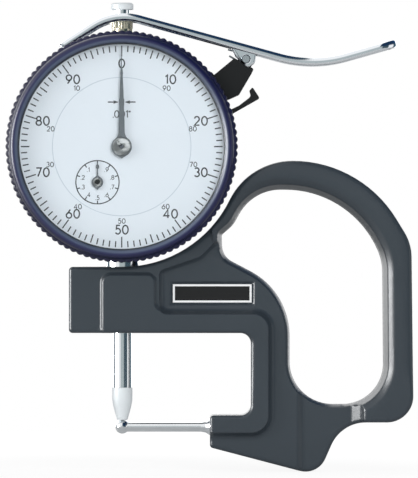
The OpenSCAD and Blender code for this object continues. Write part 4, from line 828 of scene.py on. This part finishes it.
# %% Height of the casting
EDGE_R, CROWN = 0.9, 0.6
LEAD, STEP_RUN, RECESS_RUN = 0.1, 1.0, 1.9
RECESS_CREASE, VALLEY_CREASE, WALL_CREASE = 0.15, 0.25, 0.3
BAR_WIDTH, BAR_FADE, FOOT_FADE = 8, 3.5, 8
LIP, FILLET = 0.12, 2.4
WALL_RUN = np.array([0.0, 1.25, 1.5, 2.75])
WALL_RISE = np.array([0.0, 4.85, 5.12, RIB])
valley_left, valley_right = loop_left + 1.6, loop_right - 4.5
VALLEY_X = valley_left + np.array([-0.4, 0.3, 1.5, 2.2])
VALLEY_X = np.concatenate([VALLEY_X, valley_right + np.array([-3.7, -3.3, -1.3, -0.9, -0.25, 0.2])])
VALLEY_Y = np.array([
    WEB + 1, WEB, BRIDGE + 0.1, BRIDGE, BRIDGE, BRIDGE + 0.15, BRIDGE + 1.65, BRIDGE + 2.2,
    RIB - 0.25, RIB,
])
VALLEY_TOP = 14
LABEL_X, LABEL_Z = np.array([12.5, 31.9]), np.array([29.0, 33.5])
POCKET_EDGE, POCKET_DEPTH, POCKET_RUN, POCKET_CORNER = 0.5, 0.5, 0.6, 0.02
label_mid = np.array([LABEL_X.mean(), LABEL_Z.mean()])
label_half = np.array([np.ptp(LABEL_X), np.ptp(LABEL_Z)]) / 2 + POCKET_EDGE


def distance(points, line):
    """Signed distance to a closed outline, positive inside: the nearest of its segments, signed by the
    count of segments that a ray to the right crosses."""
    a, b = line, np.roll(line, -1, axis=0)
    ab = b - a
    out = np.empty(len(points))
    for part in np.array_split(np.arange(len(points)), max(1, len(points) // 2000)):
        p = points[part][:, None, :]
        t = np.clip(((p - a) * ab).sum(2) / (ab * ab).sum(1), 0, 1)
        near = np.sqrt((((a + t[..., None] * ab) - p) ** 2).sum(2).min(1))
        cross = (a[:, 1] > p[..., 1]) != (b[:, 1] > p[..., 1])
        slope = np.where(np.abs(ab[:, 1]) < 1e-12, 1e-12, ab[:, 1])
        right = p[..., 0] < a[:, 0] + (p[..., 1] - a[:, 1]) * ab[:, 0] / slope
        odd = (cross & right).sum(1) % 2 == 1
        out[part] = np.where(odd, near, -near)
    return out


def inside(points, corners):
    """Signed distance to a rounded outline, kept to few segments: only its arcs are stepped."""
    return distance(points, rounded(corners, gap=1000.0))


def soft_min(a, b, k):
    """The lower of two heights, with their crease rounded over about k."""
    h = np.clip(0.5 + 0.5 * (b - a) / k, 0, 1)
    return b * (1 - h) + a * h - k * h * (1 - h)


def fall(s, run):
    """Drop across a wall, from 0 at its top edge to 1 at its foot: a short rounding, a long fillet."""
    u = np.clip(s / run, 0, 1)
    return 1 - (1 - u * u / (u + LIP) * (1 + LIP)) ** FILLET


def ease(s, run):
    """Drop across a low step, from 0 to 1: an even S, as round at its top as at its foot."""
    u = np.clip(s / run, 0, 1)
    return u * u * (3 - 2 * u)


def half_depth(p):
    """Half the casting's thickness at points of the plan."""
    h = RIB - (RIB - FLANGE) * ease(inside(p, STEP) + LEAD, STEP_RUN)
    h = soft_min(h, RIB - (RIB - WEB) * fall(inside(p, RECESS) + LEAD, RECESS_RUN), RECESS_CREASE)
    valley = np.interp(p[:, 0], VALLEY_X, VALLEY_Y, RIB + 1, RIB + 1)
    h = soft_min(h, np.where(p[:, 1] > VALLEY_TOP, 2 * RIB, valley), VALLEY_CREASE)
    from_outer, from_loop = np.maximum(inside(p, OUTER), 0), np.maximum(-inside(p, LOOP), 0)
    across = (from_outer - from_loop) / np.maximum(from_outer + from_loop, 0.01)
    wide = ease(from_outer + from_loop - BAR_WIDTH, BAR_FADE)
    bar = 1 - np.maximum(wide, ease(VALLEY_TOP - p[:, 1], FOOT_FADE))
    h = h - CROWN * bar * across ** 2
    edge = np.minimum(from_outer, EDGE_R)
    h = h - EDGE_R + np.sqrt(np.maximum(EDGE_R ** 2 - (EDGE_R - edge) ** 2, 0))
    wall = np.interp(from_loop, WALL_RUN, WALL_RISE, right=RIB + 1)
    return np.minimum(soft_min(h, wall, WALL_CREASE), wall)


def pocket(p):
    """Depth of the label's pocket at points of the plan: a rectangle with leaning sides."""
    return POCKET_DEPTH * ease((label_half - np.abs(p - label_mid)).min(1) + POCKET_RUN / 2, POCKET_RUN)


print("half thickness under the label in mm:", half_depth(label_mid[None]).round(2))

# %% [markdown]
# The plan is filled with points: rings at set distances beside every outline, where the height changes,
# and a plain grid between them.

# %% Points of the plan


def kept(points, outer_gap, loop_gap):
    """Points of the plan that lie in the metal, at least the given gaps from its two outlines."""
    return points[(inside(points, OUTER) > outer_gap) & (inside(points, LOOP) < -loop_gap)]


def clear_of(points, taken, cell):
    """Points whose cell, on a raster of the given size, neither holds nor borders a taken point."""
    low = np.minimum(points.min(0), taken.min(0)) - 2 * cell
    shape = ((np.maximum(points.max(0), taken.max(0)) - low) / cell).astype(int) + 3
    full = np.zeros(shape, bool)
    full[tuple(((taken - low) / cell).astype(int).T)] = True
    near = np.any([np.roll(full, (i, j), (0, 1)) for i in (-1, 0, 1) for j in (-1, 0, 1)], axis=0)
    return points[~near[tuple(((points - low) / cell).astype(int).T)]]


EDGE_RINGS = (0.03, 0.1, 0.2, 0.34, 0.5, 0.68, 0.9, 1.2)
WALL_RINGS = (0.4, 0.8, 1.1, 1.25, 1.37, 1.5, 1.75, 2.1, 2.45, 2.75, 2.95)
RECESS_RINGS = (-0.2, -0.1, 0.0, 0.12, 0.3, 0.6, 0.95, 1.35, 1.8, 2.2)
STEP_RINGS = (-0.25, -0.1, 0.05, 0.2, 0.35, 0.5, 0.65, 0.8, 0.95, 1.1)
POCKET_RINGS = (-0.4, -0.3, -0.2, -0.1, 0.0, 0.1, 0.2, 0.3, 0.4)
VALLEY_STEP, VALLEY_SIDE = 0.45, 0.2
SLACK, CLEAR, EDGE_CLEAR, LOOP_CLEAR = 0.004, 0.1, 1.0, 0.2
rings = [kept(rounded(OUTER, -d), d - SLACK, CLEAR) for d in EDGE_RINGS]
rings += [kept(rounded(LOOP, d), CLEAR, d - SLACK) for d in WALL_RINGS]
rings += [kept(rounded(RECESS, -d), EDGE_CLEAR, LOOP_CLEAR) for d in RECESS_RINGS]
rings += [kept(rounded(STEP, -d), EDGE_CLEAR, LOOP_CLEAR) for d in STEP_RINGS]
cross_x, cross_z = np.meshgrid(
    np.concatenate([VALLEY_X, VALLEY_X + VALLEY_SIDE, VALLEY_X - VALLEY_SIDE]),
    np.arange(below, loop_low + 4, VALLEY_STEP),
)
rings.append(kept(np.column_stack([cross_x.ravel(), cross_z.ravel()]), CLEAR, CLEAR))
for d in POCKET_RINGS:
    box = np.column_stack([label_mid + SQUARE * (label_half - d), np.full(4, POCKET_CORNER)])
    rings.append(rounded(box, 0, 90, 0.8))
rings = np.vstack(rings)
GRID_STEP, GRID_EDGE, GRID_LOOP, GRID_CLEAR = 1.1, 1.4, 3.2, 0.45
grid_x, grid_z = np.meshgrid(
    np.arange(BLOCK_LEFT, HANDLE_X + 1, GRID_STEP), np.arange(below, HANDLE_TOP, GRID_STEP)
)
grid = kept(np.column_stack([grid_x.ravel(), grid_z.ravel()]), GRID_EDGE, GRID_LOOP)
plan = np.vstack([outer_line, loop_line, rings, clear_of(grid, rings, GRID_CLEAR)])
print("points of the plan:", len(plan))

# %% [markdown]
# A triangulation joins the points, and the same triangles serve the front and the back. A strip closes
# the outer wall, and at the loop the two sides meet on the parting line.

# %% Mesh of the casting
n_outer, n_loop = len(outer_line), len(loop_line)
outer_edges = np.column_stack([np.arange(n_outer), np.roll(np.arange(n_outer), -1)])
loop_edges = n_outer + np.column_stack([np.arange(n_loop), np.roll(np.arange(n_loop), -1)])
WITH_HOLES, MERGE = 2, 1e-4
edges = np.vstack([outer_edges, loop_edges]).tolist()
net = delaunay_2d_cdt([Vector(p) for p in plan.tolist()], edges, [], WITH_HOLES, MERGE)
new_index = np.zeros(len(plan), int)
plan = np.array(net[0])
triangles = np.array(net[2])
new_index[np.concatenate([np.array(olds, int) for olds in net[3]])] = np.repeat(
    np.arange(len(net[3])), [len(olds) for olds in net[3]]
)
outer_index, loop_index = new_index[:n_outer], new_index[n_outer:n_outer + n_loop]
depth = half_depth(plan)
depth[loop_index] = 0
n = len(plan)
back_of = np.arange(n) + n
back_of[loop_index] = loop_index
points = np.vstack([np.column_stack([plan[:, 0], y, plan[:, 1]]) for y in (pocket(plan) - depth, depth)])
next_index = np.roll(outer_index, -1)
strip = np.vstack([
    np.column_stack([outer_index, back_of[outer_index], back_of[next_index]]),
    np.column_stack([outer_index, back_of[next_index], next_index]),
])
faces = np.vstack([triangles, back_of[triangles][:, ::-1], strip])
used, faces = np.unique(faces, return_inverse=True)
faces = [faces.reshape(-1, 3)]
casting = new_piece("casting", points[used], faces, "gauge", frame_enamel)
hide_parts("frame")

# %% [markdown]
# Last the casting is drilled, as on the drill press: for the stem, for the anvil's shank and for the two
# set screws that hold them. Each drill is a plain rod, taken away by a boolean. The result replaces the
# mesh, and the rods go.

# %% Drill the casting
SCREW_Z, ANVIL_Z, ANVIL_SCREW_X = (THROAT_TOP + BLOCK_TOP) / 2, -1.7, ARM_END + 3.5
STEM_BORE, STEM_SCREW_BORE, SHANK_BORE, ANVIL_SCREW_BORE = 4.015, 1.53, 1.615, 1.28
SHANK_DEPTH, PAST = 7.3, 2
DRILLS = [
    ((0, 0, THROAT_TOP - PAST), (0, 0, BLOCK_TOP + 2 * PAST), STEM_BORE),
    ((BLOCK_LEFT - PAST, 0, SCREW_Z), (-2, 0, SCREW_Z), STEM_SCREW_BORE),
    ((ARM_END - PAST, 0, ANVIL_Z), (ARM_END + SHANK_DEPTH, 0, ANVIL_Z), SHANK_BORE),
    ((ANVIL_SCREW_X, 0.3, ANVIL_Z), (ANVIL_SCREW_X, RIB + PAST, ANVIL_Z), ANVIL_SCREW_BORE),
]


def rod(start, end, radius, count=64):
    """A closed rod: a circle square to the line from start to end, at either end, with flat caps."""
    start, end = np.array(start, float), np.array(end, float)
    along = (end - start) / np.linalg.norm(end - start)
    side = np.roll(along, 1)
    a = 2 * np.pi * np.arange(count)[:, None] / count
    ring = radius * (np.cos(a) * side - np.sin(a) * np.cross(along, side))
    return swept(np.stack([start + ring, end + ring]))


drills = []
for i, (start, end, radius) in enumerate(DRILLS):
    drill = new_object(f"drill_{i}", *rod(start, end, radius))
    drills.append(drill)
    cut = casting.modifiers.new(f"cut_{i}", "BOOLEAN")
    cut.object = drill
    cut.solver = "MANIFOLD"
drilled = bpy.data.meshes.new_from_object(casting.evaluated_get(bpy.context.evaluated_depsgraph_get()))
casting.modifiers.clear()
casting.data = drilled
for drill in drills:
    bpy.data.objects.remove(drill)
shade_smooth(drilled, 42)
print("faces after drilling:", len(drilled.polygons))

# %% [markdown]
# ## Pointers
# The pointers are stamped from sheet and lacquered. The long one tapers to a hair, flares into a ring
# round its hub and ends in a small point below it. Half of the outline is drawn and the other half is its
# mirror image, then the outline gets the sheet's thickness. The small one has a spear head.

# %% Stamped pointers


def bend(a, b, c, steps=8):
    """Points of a quadratic curve from a to c that leaves and arrives along the lines through b."""
    t = np.linspace(0, 1, steps + 1)[:, None]
    return (1 - t) ** 2 * np.array(a) + 2 * t * (1 - t) * np.array(b) + t ** 2 * np.array(c)


def ring_point(ring_r, point_r, start, steps=24):
    """Right half of a ring with a point below: an arc from start degrees down to where the line to the
    point at point_r touches it, and the point."""
    end = math.degrees(math.acos(ring_r / point_r)) - 90
    a = np.radians(np.linspace(start, end, steps + 1))
    return np.vstack([ring_r * np.column_stack([np.cos(a), np.sin(a)]), [(0, -point_r)]])


def stamped(name, half, x, z, front, back, body, node):
    """A sheet between two depths. Its outline is the half, tip to bottom, and its mirror image."""
    outline = np.vstack([half, half[-2:0:-1] * [-1, 1], half[:1] * [-1, 1]])[::-1] + [x, z]
    points, faces = swept(np.stack([np.insert(outline, 1, y, axis=1) for y in (front, back)]))
    piece = new_piece(name, points, faces, body, pointer_lacquer)
    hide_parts(node)


POINTER_BACK, POINTER_FRONT = -10.6, -10.9
RING_R, RING_POINT, FLARE_TURN = 2.5, 2.95, 58
ring = ring_point(RING_R, RING_POINT, FLARE_TURN)
needle = [(0.1, 24.4), (0.11, 19.6), (0.34, 18.0), (0.28, 17.2), (0.42, 14.5), (0.6, 9.0), (0.72, 6.0)]
flare = bend((0.75, 3.7), (0.78, 2.75), ring[0])
half = np.vstack([needle, flare[:-1], ring])
stamped("long_pointer", half, 0, DIAL_Z, POINTER_FRONT, POINTER_BACK, "centre_train", "main_pointer")

COUNTER_X, COUNTER_Z = -5.9356, 58.566
SMALL_BACK, SMALL_FRONT = -9.95, -10.25
SMALL_R, SMALL_POINT, SMALL_TURN = 1.42, 1.85, 66
ring = ring_point(SMALL_R, SMALL_POINT, SMALL_TURN)
spear = [(0.03, 5.2), (0.1, 4.6), (0.42, 3.45), (0.15, 3.3), (0.18, 2.4)]
flare = bend((0.2, 1.9), (0.22, 1.5), ring[0])
half = np.vstack([spear, flare[:-1], ring])
stamped(
    "small_pointer", half, COUNTER_X, COUNTER_Z, SMALL_FRONT, SMALL_BACK, "rack_train", "counter_pointer"
)
BOSS_R, BOSS_BORE, BOSS_T, BOSS_EDGE = 1.1, 0.6, 0.25, 0.08
boss_front = SMALL_FRONT - BOSS_T
boss_profile = [
    (BOSS_BORE, SMALL_FRONT), (BOSS_R, SMALL_FRONT), (BOSS_R, boss_front + BOSS_EDGE),
    (BOSS_R - BOSS_EDGE, boss_front), (BOSS_BORE + BOSS_EDGE, boss_front),
    (BOSS_BORE, boss_front + BOSS_EDGE),
]
points, faces = revolved(boss_profile, 64, "Y")
points = points + [COUNTER_X, 0, COUNTER_Z - DIAL_Z]
new_piece("counter_boss", points, faces, "rack_train", hub_steel, 30)

# %% [markdown]
# ## The printed dial
# The scale is a hundred ticks, each ten marked by a numeral and a small reverse numeral. All of it is
# drawn with strokes: a path is widened to a ribbon, and the ribbon gets a little height, as screen
# printing does.

# %% Strokes
PRINT_HEIGHT = 0.03


def arc(cx, cy, rx, ry, start, end, steps=24):
    """Points of an ellipse's arc between two angles in degrees, anticlockwise from the right."""
    a = np.radians(np.linspace(start, end, steps + 1))
    return np.column_stack([cx + rx * np.cos(a), cy + ry * np.sin(a)])


def ribbon(points, width):
    """Left and right edges of a stroke: the path moved sideways by half the width, mitred at its corners.
    The width is one number, or one for each point."""
    p = np.asarray(points, float)
    closed = np.allclose(p[0], p[-1])
    step = np.diff(p, axis=0)
    step /= np.linalg.norm(step, axis=1, keepdims=True)
    before = np.vstack([step[-1:] if closed else step[:1], step])
    after = np.vstack([step, step[:1] if closed else step[-1:]])
    middle = before + after
    middle /= np.linalg.norm(middle, axis=1, keepdims=True)
    stretch = 1 / np.clip((middle * after).sum(1), 0.5, 1)
    side = np.column_stack([-middle[:, 1], middle[:, 0]]) * (stretch * np.asarray(width) / 2)[:, None]
    return p + side, p - side


def printed(name, strokes, body, material, face=DIAL_FACE, height=PRINT_HEIGHT):
    """One mesh of all strokes, each [path, width] in the dial's plane, raised from a face by height."""
    points, faces, base = [], [], 0
    for path_points, width in strokes:
        left, right = ribbon(path_points, width)
        closed = np.allclose(path_points[0], path_points[-1])
        n = len(left) - closed
        section = np.stack([left, right, right, left], axis=1)[:n]
        depth = np.broadcast_to([face, face, face - height, face - height], (n, 4))
        ribs, sides = swept(np.dstack([section[..., 0], depth, section[..., 1]]), closed)
        points.append(ribs)
        faces += [np.asarray(f) + base for f in sides]
        base += len(ribs)
    return new_piece(name, np.vstack(points), [np.vstack(faces)], body, material)


# %% [markdown]
# The numerals are a plain round sans: circles, arcs and straight strokes of one weight. Each is drawn in
# a box one high, so the same strokes serve every size on the dial.

# %% Numerals
LETTER_GAP = 0.27
GLYPHS = {
    "0": ([arc(0.32, 0.5, 0.32, 0.5, 90, 450, 40)], 0.64),
    "1": ([np.array([(0.0, 0.8), (0.22, 1.0), (0.22, 0.0)])], 0.26),
    "2": ([np.vstack([arc(0.3, 0.71, 0.28, 0.29, 168, -36), [(0.02, 0.0), (0.6, 0.0)]])], 0.6),
    "3": ([arc(0.28, 0.76, 0.24, 0.24, 150, -90), arc(0.28, 0.26, 0.28, 0.26, 90, -152)], 0.56),
    "4": ([np.array([(0.47, 0.0), (0.47, 1.0), (0.0, 0.27), (0.66, 0.27)])], 0.66),
    "5": ([np.vstack([[(0.54, 1.0), (0.16, 1.0)], arc(0.29, 0.32, 0.29, 0.32, 126, -152)])], 0.58),
    "6": (
        [arc(0.31, 0.31, 0.31, 0.31, 90, 450, 40), np.array([(0.47, 1.0), (0.2, 0.62), (0.06, 0.45)])],
        0.62,
    ),
    "7": ([np.array([(0.0, 1.0), (0.58, 1.0), (0.2, 0.0)])], 0.58),
    "8": ([arc(0.3, 0.76, 0.24, 0.24, 90, 450, 32), arc(0.3, 0.27, 0.3, 0.27, 90, 450, 36)], 0.6),
    ".": ([np.array([(0.0, -0.05), (0.0, 0.1)])], 0.0),
    '"': ([np.array([(0.0, 1.0), (0.0, 0.76)]), np.array([(0.16, 1.0), (0.16, 0.76)])], 0.16),
}
GLYPHS["9"] = ([np.array([0.62, 1.0]) - stroke for stroke in GLYPHS["6"][0]], 0.62)


def numeral(text, x, z, height, weight, gap=LETTER_GAP):
    """Strokes of a number centred on x, z, in mm. Weight is a stroke's width as a share of the height."""
    pen = -(sum(GLYPHS[c][1] for c in text) + gap * (len(text) - 1)) / 2
    strokes = []
    for c in text:
        shapes, width = GLYPHS[c]
        strokes += [((s + [pen, -0.5]) * height + [x, z], weight * height) for s in shapes]
        pen += width + gap
    return strokes


print("numerals and signs:", len(GLYPHS))

# %% [markdown]
# The main scale is printed on the outer ring, which turns with the bezel to set zero. The reverse
# numerals stand further in, beside the big ones.

# %% Main scale
TICK_OUT = 24.7
TICK_IN = {10: 22.1, 5: 22.6, 1: 23.2}
TICK_WIDTH = 0.3
NUMERAL_R, NUMERAL_H, NUMERAL_WEIGHT = 20.35, 2.1, 0.165
REVERSE_H, REVERSE_WEIGHT = 1.15, 0.17
REVERSE = {50: (0, -18.25)}
PAIRS = [(90, 10, 11.0, 14.3), (80, 20, 17.4, 4.35), (70, 30, 17.55, -4.4), (60, 40, 10.75, -14.7)]
for right, left, x, z in PAIRS:
    REVERSE[right] = (x, z)
    REVERSE[left] = (-x, z)


def clockwise(turn):
    """Unit vector in the dial's plane at a turn in degrees, clockwise from the top."""
    return np.array([math.sin(math.radians(turn)), math.cos(math.radians(turn))])


scale = []
for division in range(100):
    kind = 10 if division % 10 == 0 else 5 if division % 5 == 0 else 1
    ends = np.outer([TICK_IN[kind], TICK_OUT], clockwise(3.6 * division))
    scale.append((ends + [0, DIAL_Z], TICK_WIDTH))
for ten in range(10):
    place = NUMERAL_R * clockwise(36 * ten) + [0, DIAL_Z]
    scale += numeral(str(10 * ten), *place, NUMERAL_H, NUMERAL_WEIGHT)
for value, (x, z) in REVERSE.items():
    scale += numeral(str(value), x, z + DIAL_Z, REVERSE_H, REVERSE_WEIGHT)
printed("main_scale", scale, "bezel", ink)

# %% [markdown]
# The small turn counter and the value of one division are on the fixed inner dial. Two arrows point at
# the width of one division. A pale grey line over the gap between the inner dial and the ring that turns
# round it is painted shade: the shade that falls into the gap.

# %% Turn counter and division value
COUNTER = np.array([COUNTER_X, COUNTER_Z])
COUNTER_R, COUNTER_NUMERAL_R = 5.29, 3.8
COUNTER_STROKE, COUNTER_TICK, COUNTER_H, COUNTER_WEIGHT = 0.27, 0.8, 1.0, 0.17

counter = [(arc(*COUNTER, COUNTER_R, COUNTER_R, 0, 360, 96), COUNTER_STROKE)]
for tenth in range(10):
    along = clockwise(-36 * tenth)
    ends = COUNTER + np.outer([COUNTER_R - COUNTER_TICK, COUNTER_R], along)
    counter.append((ends, COUNTER_STROKE))
    mark = "0" if tenth == 0 else f".{tenth}"
    counter += numeral(mark, *(COUNTER + COUNTER_NUMERAL_R * along), COUNTER_H, COUNTER_WEIGHT)
VALUE_Z, VALUE_H, VALUE_WEIGHT, VALUE_GAP = DIAL_Z + 7.95, 1.65, 0.15, 0.2
counter += numeral('.001"', 0, VALUE_Z, VALUE_H, VALUE_WEIGHT, VALUE_GAP)
ARROW_Z, ARROW_TIP, ARROW_BASE, ARROW_END = DIAL_Z + 10.9, 0.76, 2.0, 3.4
ARROW_STROKE, ARROW_HEAD, ARROW_POINT = 0.3, 0.85, 0.04
MARK_X, MARK_HALF, MARK_STROKE = 0.5, 0.8, 0.22
ARROW = [
    ([(ARROW_END, ARROW_Z), (ARROW_BASE, ARROW_Z)], ARROW_STROKE),
    ([(ARROW_BASE, ARROW_Z), (ARROW_TIP, ARROW_Z)], np.array([ARROW_HEAD, ARROW_POINT])),
    ([(MARK_X, ARROW_Z - MARK_HALF), (MARK_X, ARROW_Z + MARK_HALF)], MARK_STROKE),
]
for side in (-1, 1):
    counter += [(np.array(line) * [side, 1], width) for line, width in ARROW]
printed("counter_scale", counter, "gauge", ink)
GAP_R, GAP_W = 16.96, 0.16
gap_line = arc(0, DIAL_Z, GAP_R, GAP_R, 0, 360, 160)
printed("dial_gap", [(gap_line, GAP_W)], "gauge", gap_painted_shade, height=0.01)

# %% [markdown]
# The label keeps only its white border: a plain black plate in the frame's pocket.

# %% Label border
label_low, label_high = (np.array(c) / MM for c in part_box("label_plate"))
BORDER = 0.5
rim_middle, rim_half = (label_low + label_high)[::2] / 2, ((label_high - label_low)[::2] - BORDER) / 2
rim = rim_middle + rim_half * SQUARE[[0, 1, 2, 3, 0]]
printed("label_border", [(rim, BORDER)], "gauge", white_paint, face=label_low[1])
